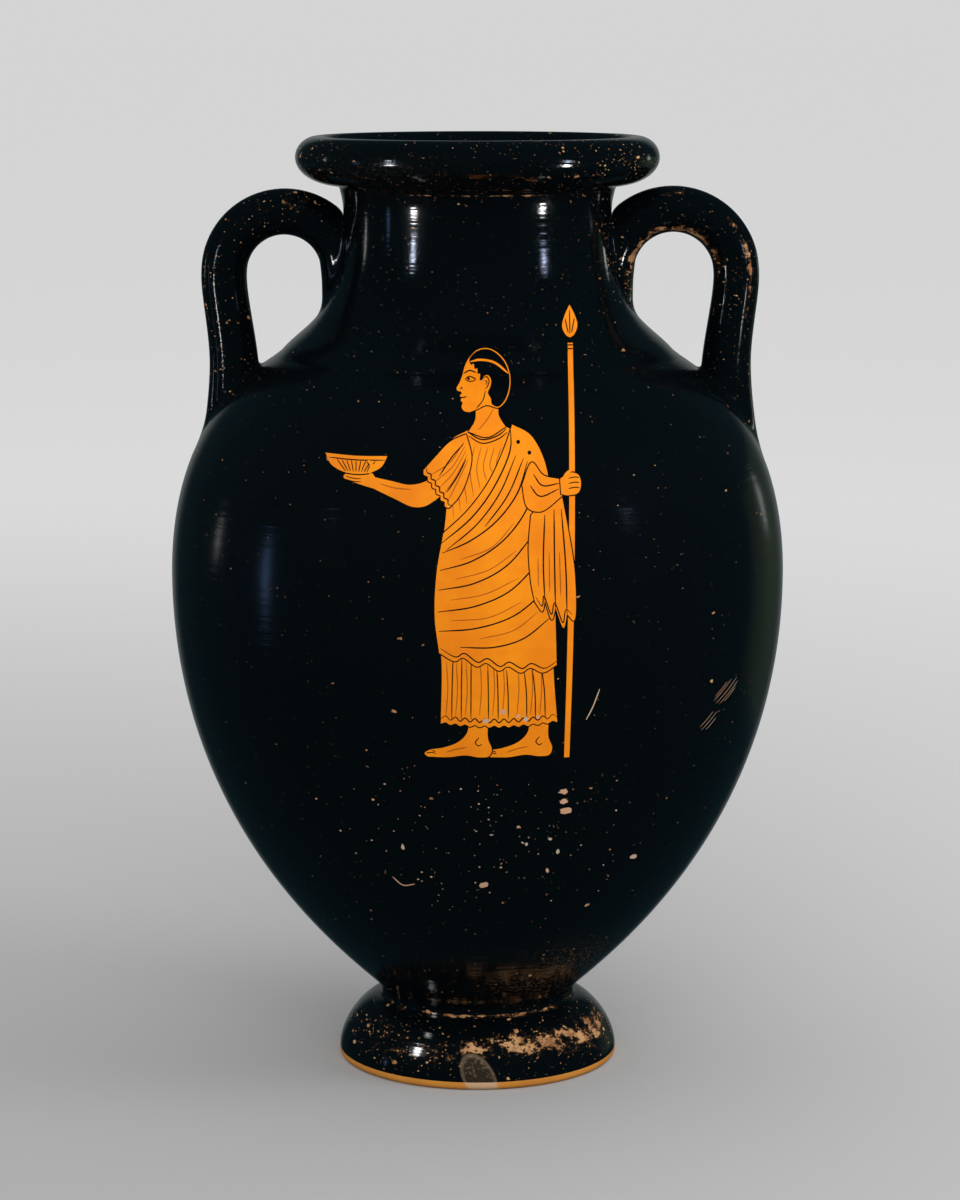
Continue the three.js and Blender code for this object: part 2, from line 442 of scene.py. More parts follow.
@dataclass
class Handle:
    """A round bar that rises from the neck, arches over and comes down on the shoulder."""

    side: int
    reach: float
    radius: float = 10.1
    neck_line: float = 58.0
    neck_root: float = 336.0
    spring: float = 355.0
    waist: float = 315.0
    lean: float = 4.0
    root: float = 272.0
    swell_shoulder: float = 4.5
    swell_neck: float = 1.6
    swell_share: float = 0.4
    tail: float = 16.0
    fillet_neck: float = 3.0
    fillet_shoulder: float = 4.0
    sides: int = 40
    steps: int = 64
    fillet_steps: int = 6
    arch_steps: int = 8
    search: int = 1000

    def _line(self) -> np.ndarray:
        """Draw the bar's middle line in the upright plane, from the neck to the shoulder."""
        half = (self.reach - self.neck_line) / 2
        centre = self.neck_line + half
        arch = [math.pi * (1 - k / self.arch_steps) for k in range(self.arch_steps + 1)]
        points = [(self.neck_line - 1.0, self.neck_root)]
        points += [(centre + half * math.cos(a), self.spring + half * math.sin(a)) for a in arch]
        points += [(self.reach - self.lean, self.waist), (self.reach - self.lean + 1.0, self.root)]
        return spline(points, 0.4)

    def loft(self, profile: Profile) -> tuple[list[np.ndarray], np.ndarray, np.ndarray]:
        """Shape the bar between its two roots.

        Args:
            profile: the section that the roots sit on.

        Returns:
            The two root loops on the sheet, the bar's rings of points, and each ring point's
            share of the bar's length.
        """
        bare = self._line()
        tips = ((bare[0], bare[1]), (bare[-1], bare[-2]))
        ends = [(p - q) / np.linalg.norm(p - q) * self.tail for p, q in tips]
        line = np.vstack([bare[0] + ends[0], bare, bare[-1] + ends[1]])
        run = np.concatenate([[0.0], np.cumsum(np.linalg.norm(np.diff(line, axis=0), axis=1))])
        share = (run - self.tail) / (run[-1] - 2 * self.tail)
        along = np.gradient(line, axis=0)
        along /= np.linalg.norm(along, axis=1, keepdims=True)
        angle = np.linspace(0.0, 2 * math.pi, self.sides, endpoint=False)

        def bar(t: np.ndarray, extra: float) -> np.ndarray:
            """Points of the bar, or of a thicker one, at shares of the length, one for each side."""
            centre = np.stack([np.interp(t, share, line[:, k]) for k in range(2)], axis=-1)
            head = np.stack([np.interp(t, share, along[:, k]) for k in range(2)], axis=-1)
            neck = np.clip(1 - t / self.swell_share, 0, 1) ** 2 * self.swell_neck
            low = np.clip(1 - (1 - t) / self.swell_share, 0, 1) ** 2 * self.swell_shoulder
            thick = self.radius + neck + low + extra
            out, wide = thick * np.cos(angle), thick * np.sin(angle)
            x = centre[..., 0] - head[..., 1] * out
            z = centre[..., 1] + head[..., 0] * out
            return np.stack([x, wide, z], axis=-1)

        grid = np.repeat(np.linspace(share[0], share[-1], self.search)[:, None], self.sides, axis=1)
        across = np.interp(grid[:, 0], share, line[:, 0])
        middle = int(np.searchsorted(across, (self.neck_line + self.reach) / 2))

        def meet(extra: float, level: float, low: bool) -> np.ndarray:
            """Shares of the length where the bar comes within a level of the wall, one for each side."""
            points = bar(grid, extra)
            gap = np.hypot(points[..., 0], points[..., 1]) - profile.radius_at(points[..., 2]) - level
            found = np.zeros(self.sides)
            for k in range(self.sides):
                inside = np.nonzero(gap[:, k] < 0)[0]
                if low:
                    i = inside[inside > middle].min() - 1
                else:
                    i = inside[inside < middle].max()
                a, b = gap[i, k], gap[i + 1, k]
                found[k] = grid[i, 0] + (grid[i + 1, 0] - grid[i, 0]) * a / (a - b)
            return found

        def fillet(start: np.ndarray, corner: np.ndarray, end: np.ndarray, step: int) -> np.ndarray:
            """The ring at a step of the round between the wall and the bar."""
            t = step / self.fillet_steps
            return (1 - t) ** 2 * start + 2 * t * (1 - t) * corner + t**2 * bar(end, 0.0)

        ends, loops = [], []
        for low, round_ in ((False, self.fillet_neck), (True, self.fillet_shoulder)):
            spread = bar(meet(round_, 0.0, low), round_)
            turn = np.arctan2(spread[:, 0] * self.side, -spread[:, 1])
            length = profile.length_at(spread[:, 2])
            loops.append(np.stack([turn, length], axis=1))
            start = profile.place(turn, length) * (self.side, 1.0, 1.0)
            ends.append((start, bar(meet(0.0, 0.0, low), 0.0), meet(0.0, round_, low)))
        neck_end, shoulder_end = ends
        from_t, to_t = neck_end[2], shoulder_end[2]
        along_bar = [from_t + (to_t - from_t) * k / self.steps for k in range(self.steps + 1)]
        rings = [fillet(*neck_end, k) for k in range(self.fillet_steps)]
        rings += [bar(t, 0.0) for t in along_bar]
        rings += [fillet(*shoulder_end, k) for k in reversed(range(self.fillet_steps))]
        shares = [from_t] * self.fillet_steps + along_bar + [to_t] * self.fillet_steps
        return loops, np.array(rings) * (self.side, 1.0, 1.0), np.array(shares)


@dataclass
class Picture:
    """Painted areas in the order in which they are laid on, in a front view: x across, height up."""

    line: float = 0.6
    weight: float = 1.25
    coats: list[tuple[Finish, np.ndarray]] = field(default_factory=list)

    def fill(self, loop: np.ndarray, finish: Finish = Finish.CLAY, rim: float = 0.5) -> None:
        """Lay an area with a black rim round it.

        Args:
            loop: the area's outline.
            finish: its finish.
            rim: width of the rim, 0 for none.
        """
        if rim:
            self.coats.append((Finish.GLAZE, grown(loop, rim)))
        self.coats.append((finish, loop))

    def stroke(
        self, points: Sequence[Point], width: float = 0.0, finish: Finish = Finish.GLAZE, step: float = 0.8
    ) -> None:
        """Draw a line through points, at the picture's own width unless one is given."""
        self.coats.append((finish, ribbon(points, self.weight * width if width else self.line, step)))

    def dot(self, x: float, y: float, radius: float, finish: Finish = Finish.GLAZE) -> None:
        """Set a round dot."""
        turn = np.linspace(0.0, 2 * math.pi, 14, endpoint=False)
        self.coats.append((finish, np.stack([x + radius * np.cos(turn), y + radius * np.sin(turn)], axis=1)))


@dataclass
class StandingFigure:
    """A draped figure of no one in particular, standing still, with a shallow bowl and a staff."""

    picture: Picture
    ground: float = 164.0
    shift: float = 3.0

    def draw(self) -> None:
        """Lay the figure on its ground line."""
        mark = len(self.picture.coats)
        self._lay()
        moved = [(f, loop + (self.shift, self.ground)) for f, loop in self.picture.coats[mark:]]
        self.picture.coats[mark:] = moved

    def _lay(self) -> None:
        """Lay the parts on, from what is behind to what is in front."""
        self._staff()
        self._foot(22.0)
        self._foot(-3.0)
        self._tunic()
        self._cloak()
        self._staff_arm()
        self._head()
        self._bowl_arm()

    def _staff(self) -> None:
        """Draw the staff with its bud."""
        self.picture.fill(outline(
            [(33.0, -1.0), (34.2, 60.0), (35.2, 166.0)], [(35.2, 166.0), (37.4, 166.0)],
            [(37.4, 166.0), (36.6, 60.0), (35.2, -1.0)], [(35.2, -1.0), (33.0, -1.0)], step=4.0))
        bud = [(36.3, 181.0), (34.2, 177.0), (33.0, 172.5), (34.6, 169.0), (36.3, 168.0)]
        other = [(72.6 - x, y) for x, y in reversed(bud)]
        self.picture.fill(outline(bud, other, step=0.7))
        self.picture.stroke([(36.3, 179.0), (36.3, 169.5)], 0.4)
        self.picture.stroke([(34.3, 175.5), (35.6, 169.8)], 0.4)
        self.picture.stroke([(38.3, 175.5), (37.0, 169.8)], 0.4)
        for y in (165.2, 163.8):
            self.picture.stroke([(34.8, y), (37.8, y)], 0.4)

    def _foot(self, x: float) -> None:
        """Draw a bare foot, its ankle at x."""

        def at(points: Sequence[Point]) -> list[Point]:
            """Move points from the middle to the ankle."""
            return [(px + x, py) for px, py in points]

        self.picture.fill(outline(
            at([(-3.4, 19.0), (-4.2, 11.0), (-8.0, 6.8), (-14.5, 4.2), (-19.5, 3.2), (-21.8, 1.6),
                (-20.6, 0.2)]),
            at([(-20.6, 0.2), (-12.0, 0.1), (-5.0, 1.0), (1.0, 0.1), (4.8, 0.6), (6.0, 3.6), (4.4, 8.5),
                (4.6, 19.0)]),
            at([(4.6, 19.0), (-3.4, 19.0)]), step=0.7))
        self.picture.stroke(at([(-21.2, 1.7), (-18.6, 2.0), (-17.0, 1.5)]), 0.35, step=0.5)
        self.picture.stroke(at([(-18.8, 3.0), (-17.2, 2.4)]), 0.35, step=0.5)
        self.picture.stroke(at([(0.8, 9.0), (-0.8, 6.6), (0.6, 5.2), (1.9, 6.0)]), 0.4, step=0.5)
        self.picture.stroke(at([(-4.0, 4.6), (-9.0, 3.6), (-13.0, 2.2)]), 0.4, Finish.WASH)

    def _tunic(self) -> None:
        """Draw the long tunic below the cloak, and its chest above it."""
        hem = []
        for k in range(25):
            x = -18.0 + 48.0 * k / 24
            sag = 13.2 + 1.6 * ((x - 6.0) / 24.0) ** 2
            hem.append((x, sag + (0.9 if k % 2 else 0.0)))
        self.picture.fill(outline(
            hem,
            [hem[-1], (28.5, 34.0), (27.5, 60.0), (26.0, 90.0), (23.0, 112.0), (17.0, 130.0), (8.0, 136.0)],
            [(8.0, 136.0), (0.0, 133.4), (-7.2, 134.0)],
            [(-7.2, 134.0), (-14.0, 130.0), (-16.6, 120.0), (-15.4, 108.0), (-17.0, 90.0), (-19.4, 66.0),
             (-17.6, 40.0), hem[0]], step=0.8))
        wave = [(x, y + 2.3 + (0.5 if k % 2 else -0.2)) for k, (x, y) in enumerate(hem)]
        self.picture.stroke(wave, 0.45, step=0.5)
        for x, top, lean in (
            (-13.5, 44.0, 0.6), (-9.6, 43.0, 0.3), (-5.6, 42.0, 0.1), (1.6, 40.0, -0.3), (5.6, 39.0, -0.6),
            (9.8, 38.0, -0.8), (17.4, 38.0, -1.2), (21.0, 39.0, -1.5), (25.0, 40.0, -1.8),
        ):
            self.picture.stroke([(x + lean, top), (x + 0.2 * lean, 28.0), (x, 16.8)], 0.4)
        for x in (-15.6, -11.6, -7.6, -1.8, 3.6, 7.6, 13.6, 19.2, 23.0):
            self.picture.stroke([(x, 41.0), (x + 0.5, 30.0), (x - 0.3, 18.5)], 0.35, Finish.WASH)
        for k in range(8):
            x = -13.4 + 2.7 * k
            low = 96.0 + 2.9 * k
            fold = [(x + 1.2, 128.5 - 0.15 * k), (x - 0.6, 118.0 + 0.4 * k), (x + 0.8, low + 4.0)]
            self.picture.stroke(fold, 0.35, Finish.WASH)
        self.picture.stroke([(-7.0, 133.4), (-1.0, 130.6), (6.0, 132.4), (9.0, 134.8)], 0.45)
        self.picture.stroke([(-6.6, 132.0), (-1.0, 129.2), (6.0, 131.0), (9.4, 133.4)], 0.4)

    def _cloak(self) -> None:
        """Draw the cloak: round the hips and up over the far shoulder, with a folded edge."""
        hem = [(-18.6, 45.0), (-12.0, 41.6), (-9.0, 43.2), (-3.0, 39.4), (0.5, 41.0), (6.0, 37.6),
               (9.5, 39.4), (15.0, 36.6), (18.6, 38.6), (24.0, 36.4), (29.6, 39.4)]
        self.picture.fill(outline(
            [(-16.8, 94.0), (-19.6, 78.0), (-20.4, 60.0), (-18.6, 45.0)],
            hem,
            [(29.6, 39.4), (29.0, 60.0), (28.4, 84.0), (27.4, 104.0), (24.6, 122.0), (18.8, 132.2),
             (11.4, 136.2)],
            [(11.4, 136.2), (8.4, 128.0), (1.8, 114.5), (-7.0, 103.0), (-16.8, 94.0)], step=0.9))
        edge = [(x + 0.5, y + 1.8) for x, y in hem]
        self.picture.stroke(edge, 0.45)
        roll = [(10.6, 135.0), (10.6, 127.0), (4.0, 112.5), (-5.2, 100.4), (-17.6, 90.0)]
        self.picture.stroke(roll, 0.5)
        self.picture.stroke([(x + 2.2, y - 2.6) for x, y in roll[1:]], 0.45)
        self.picture.stroke([(x + 5.4, y - 3.6) for x, y in roll[1:4]], 0.45)
        for run in (
            [(-17.4, 86.0), (-6.0, 91.0), (5.0, 99.0), (13.5, 110.0), (17.6, 122.0)],
            [(-18.2, 79.0), (-5.0, 83.0), (8.0, 91.5), (17.5, 104.0), (21.0, 116.0)],
            [(-18.8, 71.0), (-4.0, 74.0), (9.0, 81.0), (20.5, 94.0)],
            [(-19.2, 62.0), (-4.0, 64.5), (10.0, 70.5), (23.0, 83.0)],
            [(-18.6, 54.0), (-3.0, 55.5), (12.0, 60.5), (25.5, 71.0)],
            [(-10.0, 47.5), (4.0, 47.5), (16.0, 51.0), (26.5, 59.0)],
        ):
            self.picture.stroke(run, 0.5)
        for run in (
            [(-12.0, 75.5), (2.0, 79.5), (13.0, 87.0)],
            [(-14.0, 67.0), (0.0, 69.5), (14.0, 76.0)],
            [(-14.0, 58.5), (2.0, 60.0), (15.0, 66.0)],
            [(-2.0, 51.0), (12.0, 54.5), (22.0, 62.0)],
            [(-10.0, 83.5), (3.0, 88.5), (12.0, 98.0)],
        ):
            self.picture.stroke(run, 0.35, Finish.WASH)
        self.picture.dot(13.8, 129.6, 0.8)
        self.picture.dot(18.4, 125.4, 0.8)

    def _staff_arm(self) -> None:
        """Draw the covered arm that holds the staff, and the end of the cloak that hangs from it."""
        self.picture.fill(outline(
            [(19.0, 101.0), (18.0, 88.0), (19.0, 74.0), (20.6, 66.0)],
            [(20.6, 66.0), (23.6, 62.0), (24.6, 66.6)],
            [(24.6, 66.6), (27.6, 58.4), (29.0, 63.4)],
            [(29.0, 63.4), (32.4, 54.8), (33.8, 60.6)],
            [(33.8, 60.6), (36.6, 57.6), (37.0, 76.0), (34.0, 96.0), (31.6, 108.6)],
            [(31.6, 108.6), (25.0, 107.0), (19.0, 101.0)], step=0.8))
        for run in ([(24.6, 66.6), (24.0, 82.0), (24.6, 101.0)], [(29.0, 63.4), (28.6, 82.0), (28.4, 103.0)],
                    [(33.8, 60.6), (33.2, 80.0), (31.4, 103.0)]):
            self.picture.stroke(run, 0.5)
        border = [(20.9, 68.0), (23.6, 64.2), (24.2, 68.4), (27.4, 60.6), (28.6, 65.4), (32.2, 57.0),
                  (33.4, 62.4), (35.9, 60.2)]
        self.picture.stroke(border, 0.4, step=0.5)
        for run in ([(22.0, 72.0), (21.8, 84.0)], [(26.6, 70.0), (26.4, 86.0)], [(31.2, 68.0), (30.6, 86.0)]):
            self.picture.stroke(run, 0.35, Finish.WASH)
        self.picture.fill(outline(
            [(15.4, 113.0), (17.6, 104.0), (23.0, 102.4), (32.0, 108.4)],
            [(32.0, 108.4), (31.0, 114.8)],
            [(31.0, 114.8), (24.0, 116.6), (19.4, 121.6), (15.4, 113.0)], step=0.8))
        self.picture.stroke([(18.6, 112.6), (22.6, 108.4), (30.4, 111.0)], 0.45)
        self.picture.stroke([(20.0, 117.0), (23.6, 112.6), (30.6, 113.2)], 0.45)
        self.picture.fill(outline(
            [(31.4, 109.0), (34.0, 108.4), (38.4, 109.2), (39.6, 112.4), (38.6, 116.2), (35.0, 117.2),
             (31.0, 115.0)],
            [(31.0, 115.0), (31.4, 109.0)], step=0.6))
        for y in (111.2, 113.2, 115.2):
            self.picture.stroke([(34.4, y - 0.2), (37.0, y + 0.2), (39.0, y)], 0.35, step=0.5)
        self.picture.stroke([(32.6, 115.8), (34.6, 117.6), (36.6, 118.6)], 0.9, Finish.CLAY, step=0.5)

    def _head(self) -> None:
        """Draw the head from the side: even thirds, a straight nose, a closed mouth, short bound hair."""
        pic = self.picture
        pic.fill(outline(
            [(-6.6, 133.6), (-3.9, 138.0), (-3.6, 142.5)], [(-3.6, 142.5), (6.2, 146.0)],
            [(6.2, 146.0), (5.8, 140.0), (8.6, 135.4)],
            [(8.6, 135.4), (1.0, 131.6), (-6.6, 133.6)], step=0.6))
        pic.stroke([(3.6, 142.0), (0.6, 137.6), (-2.6, 134.2)], 0.35, Finish.WASH)
        face = [(-6.8, 160.8), (-8.3, 157.8), (-9.1, 154.8)]
        nose = [(-9.1, 154.8), (-10.3, 152.0), (-11.6, 149.7), (-11.2, 148.9), (-9.8, 148.6)]
        mouth = [(-9.8, 148.6), (-9.5, 147.9), (-10.3, 147.0), (-9.4, 146.4), (-9.9, 145.4), (-9.0, 144.4)]
        chin = [(-9.0, 144.4), (-9.5, 143.0), (-8.7, 141.6), (-6.6, 141.0), (-3.2, 142.0)]
        skull = [(-3.2, 142.0), (1.0, 143.6), (5.6, 142.6), (8.4, 144.6), (10.5, 149.4), (10.6, 154.8),
                 (7.9, 160.8), (2.4, 164.6), (-3.0, 164.2), (-6.8, 160.8)]
        pic.fill(outline(face, nose, mouth, chin, skull, step=0.5), rim=0.45)
        hair = [(-6.4, 160.4), (-5.4, 158.4), (-4.6, 159.0), (-4.0, 156.8), (-3.1, 157.2), (-2.8, 155.0),
                (-1.9, 155.2), (-1.9, 152.6), (-0.9, 152.6), (-0.4, 154.0), (1.4, 154.6), (2.7, 153.0),
                (2.4, 150.4), (1.4, 148.2), (2.6, 146.0), (3.0, 144.0), (5.5, 142.9), (8.1, 144.9),
                (10.15, 149.6), (10.25, 154.7), (7.6, 160.5), (2.3, 164.25), (-2.9, 163.85)]
        pic.coats.append((Finish.GLAZE, spline(hair, 0.5, closed=True)))
        pic.stroke([(-5.9, 159.7), (-2.0, 160.4), (4.0, 159.4), (9.9, 155.2)], 0.7, Finish.CLAY, step=0.6)
        pic.stroke([(-0.6, 153.6), (0.9, 154.0), (1.9, 152.6), (1.3, 150.6), (0.4, 149.6)], 0.35, step=0.4)
        pic.stroke([(0.1, 152.4), (1.0, 152.4), (0.8, 151.0)], 0.3, step=0.4)
        pic.stroke([(0.4, 149.0), (-0.6, 145.6), (-3.4, 142.3)], 0.35, step=0.6)
        pic.stroke([(-8.2, 153.0), (-6.4, 154.1), (-4.4, 153.5), (-3.6, 152.9)], 0.4, step=0.4)
        pic.stroke([(-8.0, 152.9), (-6.4, 152.3), (-4.6, 152.5), (-3.6, 152.9)], 0.3, step=0.4)
        pic.dot(-6.6, 153.2, 0.55)
        pic.stroke([(-8.7, 155.2), (-6.2, 156.3), (-3.4, 155.5)], 0.45, step=0.5)
        pic.stroke([(-10.2, 149.3), (-9.5, 150.2), (-9.2, 149.4)], 0.3, step=0.4)
        pic.stroke([(-9.6, 146.5), (-8.5, 146.4), (-7.5, 146.9)], 0.35, step=0.4)

    def _bowl_arm(self) -> None:
        """Draw the near arm, stretched out, and the shallow bowl on its hand."""
        pic = self.picture
        pic.fill(outline(
            [(-18.0, 118.6), (-24.4, 114.2), (-31.0, 112.8), (-38.0, 114.0), (-45.0, 115.2)],
            [(-45.0, 115.2), (-47.0, 117.4), (-50.0, 116.6), (-57.4, 116.0), (-58.2, 114.6), (-52.0, 112.4),
             (-45.6, 110.8)],
            [(-45.6, 110.8), (-37.0, 107.2), (-29.4, 104.2), (-24.4, 104.6), (-18.0, 108.6)],
            [(-18.0, 108.6), (-18.0, 118.6)], step=0.7))
        pic.stroke([(-30.0, 111.0), (-37.0, 111.4), (-43.0, 112.8)], 0.35, Finish.WASH)
        for y in (113.4, 114.6):
            pic.stroke([(-57.4, y + 0.5), (-54.0, y - 0.2), (-50.8, y - 0.2)], 0.3, step=0.5)
        sleeve = []
        for k in range(13):
            t = k / 12
            x, y = -25.0 + 10.4 * t, 118.6 - 14.6 * t
            out = 0.9 if k % 2 else 0.0
            sleeve.append((x - 0.8 * out, y - 0.6 * out))
        pic.fill(outline(
            [(-7.6, 132.6), (-14.0, 129.8), (-20.0, 124.0), sleeve[0]], sleeve,
            [sleeve[-1], (-10.6, 108.4), (-7.0, 116.0), (-5.4, 124.0), (-7.6, 132.6)], step=0.7))
        pic.stroke([(x + 1.3, y + 0.9) for x, y in sleeve], 0.45, step=0.5)
        for k in range(5):
            t = (k + 1) / 6
            pic.stroke([(-8.6 + 0.5 * k, 129.6 - 1.6 * k), (-14.0 + 0.7 * k, 122.0 - 2.0 * k),
                        (-23.4 + 10.4 * t, 119.4 - 14.6 * t)], 0.35, Finish.WASH)
        pic.stroke([(-8.6, 129.0), (-13.6, 123.6), (-18.6, 116.4)], 0.45)
        pic.stroke([(-7.6, 123.0), (-11.0, 116.6), (-15.4, 110.2)], 0.45)
        rim = [(-66.0, 123.6), (-53.0, 123.2), (-40.0, 123.6)]
        bowl = [(-40.0, 123.6), (-42.4, 119.4), (-47.6, 116.8), (-53.0, 116.2), (-58.4, 116.8),
                (-63.6, 119.4), (-66.0, 123.6)]
        pic.fill(outline(rim, bowl, step=0.7))
        pic.stroke([(-65.0, 122.0), (-53.0, 121.6), (-41.0, 122.0)], 0.4)
        for k in range(9):
            x = -61.0 + 2.0 * k
            pic.stroke([(x, 121.4), (-53.0 + (x + 53.0) * 0.55, 117.0)], 0.35)
        pic.stroke([(-47.4, 116.6), (-46.6, 119.8), (-48.0, 121.6)], 1.5, Finish.CLAY, step=0.5)
        pic.stroke([(-48.2, 117.6), (-47.5, 119.8), (-48.8, 121.2)], 0.35, step=0.5)


@dataclass
class MantledFigure(StandingFigure):
    """A plainer figure for the other side, wrapped in a mantle from neck to shin."""

    def _lay(self) -> None:
        """Lay the parts on, from what is behind to what is in front."""
        self._foot(14.0)
        self._foot(-4.0)
        self._mantle()
        self._head()

    def _mantle(self) -> None:
        """Draw the mantle: a straight hem, a fold thrown over the shoulder and a few long folds."""
        hem = [(-15.0, 17.0), (0.0, 15.6), (20.0, 16.6)]
        self.picture.fill(outline(
            hem,
            [(20.0, 16.6), (22.0, 50.0), (23.0, 90.0), (20.4, 120.0), (14.0, 131.0), (6.0, 137.0)],
            [(6.0, 137.0), (-1.0, 135.2), (-8.0, 133.6)],
            [(-8.0, 133.6), (-16.0, 124.0), (-19.6, 104.0), (-18.4, 70.0), (-15.6, 40.0), (-15.0, 17.0)]))
        self.picture.stroke([(x, y + 2.0) for x, y in hem])
        for k in range(5):
            top, reach = 131.0 - 5.0 * k, 96.0 - 15.0 * k
            across = [(9.0 + 1.6 * k, top), (2.0 * k, 0.5 * (top + reach)), (-16.6 + 0.6 * k, reach)]
            self.picture.stroke(across)
        for k in range(4):
            x = 12.0 - 7.0 * k
            self.picture.stroke([(x + 4.0, 66.0 - 6.0 * k), (x + 1.0, 42.0), (x, 21.0)], 0.4, Finish.WASH)
        self.picture.stroke([(14.0, 130.0), (15.6, 100.0), (13.6, 62.0)])


@dataclass
class Scars:
    """Losses of the glaze on the wall: chips, scratches and specks, placed as the jar shows them."""

    seed: int = 7
    chips: tuple[tuple[float, float, float, float], ...] = (
        (10.6, 184.0, 1.7, 1.4), (3.6, 180.2, 1.6, 1.1), (17.0, 182.0, 1.1, 0.8), (20.0, 180.6, 0.9, 1.3),
        (36.0, 147.4, 1.9, 1.4), (36.2, 142.8, 1.7, 1.4), (36.8, 138.2, 2.8, 1.9), (34.0, 119.0, 0.9, 1.2),
        (2.6, 103.6, 2.3, 1.7), (25.0, 181.4, 0.8, 0.7), (20.6, 123.4, 0.8, 1.1), (-31.4, 121.4, 0.9, 1.5),
        (30.6, 125.4, 1.0, 0.8), (29.6, 109.8, 0.8, 1.2), (67.0, 111.4, 1.8, 1.2),
    )
    scratches: tuple[tuple[Point, Point, Point], ...] = (
        ((45.0, 179.0), (47.6, 184.0), (50.6, 192.0)), ((-36.0, 106.0), (-31.5, 102.2), (-26.5, 103.2)),
    )
    scuffs: tuple[tuple[float, float, float], ...] = (
        (100.5, 179.6, 8.0), (101.4, 178.0, 9.5), (103.0, 177.4, 8.5), (105.4, 178.2, 5.0),
        (101.0, 181.4, 5.5), (94.4, 168.8, 6.0), (95.0, 167.2, 7.0), (97.2, 167.0, 4.5),
    )
    scuff_width: float = 0.11
    specks: int = 150

    def lay(self, picture: Picture) -> None:
        """Cut the losses into a picture.

        Args:
            picture: the picture that they lie over.
        """
        draw = random.Random(self.seed)
        for x, height, wide, tall in self.chips:
            self._blot(draw, picture, x, height, wide, tall)
        for run in self.scratches:
            picture.stroke(run, 0.4, Finish.CHIP)
        for x, height, reach in self.scuffs:
            run = [(x, height), (x + 0.5 * reach, height + 0.45 * reach), (x + reach, height + reach)]
            picture.stroke(run, self.scuff_width, Finish.CHIP)
        for _ in range(self.specks):
            x = draw.gauss(0.0, 38.0)
            height = draw.gauss(128.0, 26.0)
            size = 0.16 + 0.34 * draw.random() ** 3
            if 70.0 < height < 160.0 and abs(x) < 75.0:
                self._blot(draw, picture, x, height, size * draw.uniform(0.8, 1.6), size)

    @staticmethod
    def _blot(
        draw: random.Random, picture: Picture, x: float, height: float, wide: float, tall: float
    ) -> None:
        """Cut one ragged loss."""
        count = 12 if wide > 0.7 else 7
        loop = []
        for k in range(count):
            turn = 2 * math.pi * k / count
            reach = draw.uniform(0.65, 1.1)
            loop.append((x + wide * reach * math.cos(turn), height + tall * reach * math.sin(turn)))
        picture.coats.append((Finish.CHIP, np.array(loop)))


@dataclass
class Sheet:
    """The jar's skin laid flat: points as (turn, length), faces, and each face's finish."""

    profile: Profile
    columns: int = 192
    first_turn: float = -130.0
    spread: float = 100.0
    points: list[np.ndarray] = field(default_factory=list)
    faces: list[tuple[int, ...]] = field(default_factory=list)
    finishes: list[int] = field(default_factory=list)

    def __post_init__(self) -> None:
        """Find the turn of each column."""
        start = math.radians(self.first_turn)
        self.turns = start + 2 * math.pi * np.arange(self.columns + 1) / self.columns

    def lay(self, coats: Iterable[tuple[Finish, np.ndarray]], roots: Sequence[np.ndarray]) -> None:
        """Cover the whole skin.

        Args:
            coats: painted areas on the sheet, as (turn, length) loops, the last on top.
            roots: loops where the handles join, which are left open.
        """
        first, last = self.profile.mark_of(Zone.BODY)
        rings = self.profile.rings
        low = rings[rings <= first + 1e-6]
        high = rings[rings >= last - 1e-6]
        self._grid(low)
        self._painted(rings[(rings >= first - 1e-6) & (rings <= last + 1e-6)], coats, roots)
        self._grid(high)

    def _grid(self, lengths: np.ndarray) -> None:
        """Lay plain rows of faces between rings."""
        base = sum(len(p) for p in self.points)
        turn, length = np.meshgrid(self.turns, lengths)
        self.points.append(np.stack([turn.ravel(), length.ravel()], axis=1))
        wide = self.columns + 1
        for row in range(len(lengths) - 1):
            finish = self._finish(0.5 * (lengths[row] + lengths[row + 1]))
            for k in range(self.columns):
                a = base + row * wide + k
                self.faces.append((a, a + 1, a + 1 + wide, a + wide))
                self.finishes.append(finish)

    def _finish(self, length: float) -> int:
        """Return the finish of a plain row."""
        zone = self.profile.zone_at(length)
        height = float(np.interp(length, self.profile.length, self.profile.line[:, 1]))
        if zone is Zone.INSIDE and height > self.profile.glaze_inside:
            return Finish.GLAZE.value
        return ZONE_FINISH[zone].value

    def _painted(
        self, lengths: np.ndarray, coats: Iterable[tuple[Finish, np.ndarray]], roots: Sequence[np.ndarray]
    ) -> None:
        """Lay the wall, cut along the painted areas and the handles' roots."""
        scale = np.array([self.spread, 1.0])
        turn, length = np.meshgrid(self.turns, lengths)
        points = [np.stack([turn.ravel() * self.spread, length.ravel()], axis=1)]
        count = len(points[0])
        edges: list[tuple[int, int]] = []
        layers = [(finish, loop * scale) for finish, loop in coats]
        layers += [(Finish.CUT, loop * scale) for loop in roots]
        for _, loop in layers:
            points.append(loop)
            edges += [(count + k, count + (k + 1) % len(loop)) for k in range(len(loop))]
            count += len(loop)
        flat = [Vector((float(x), float(y))) for x, y in np.vstack(points)]
        made, _, faces, *_ = delaunay_2d_cdt(flat, edges, [], 0, 1e-3, False)
        flat_points = np.array([(p.x, p.y) for p in made])
        corners = np.array(faces)
        middles = flat_points[corners].mean(axis=1)
        finish = np.full(len(corners), Finish.GLAZE.value)
        for kind, loop in layers:
            finish[enclosed(loop, middles)] = kind.value
        base = sum(len(p) for p in self.points)
        self.points.append(flat_points / scale)
        for face, kind in zip(corners, finish):
            if kind != Finish.CUT.value:
                self.faces.append(tuple(int(base + i) for i in face))
                self.finishes.append(int(kind))


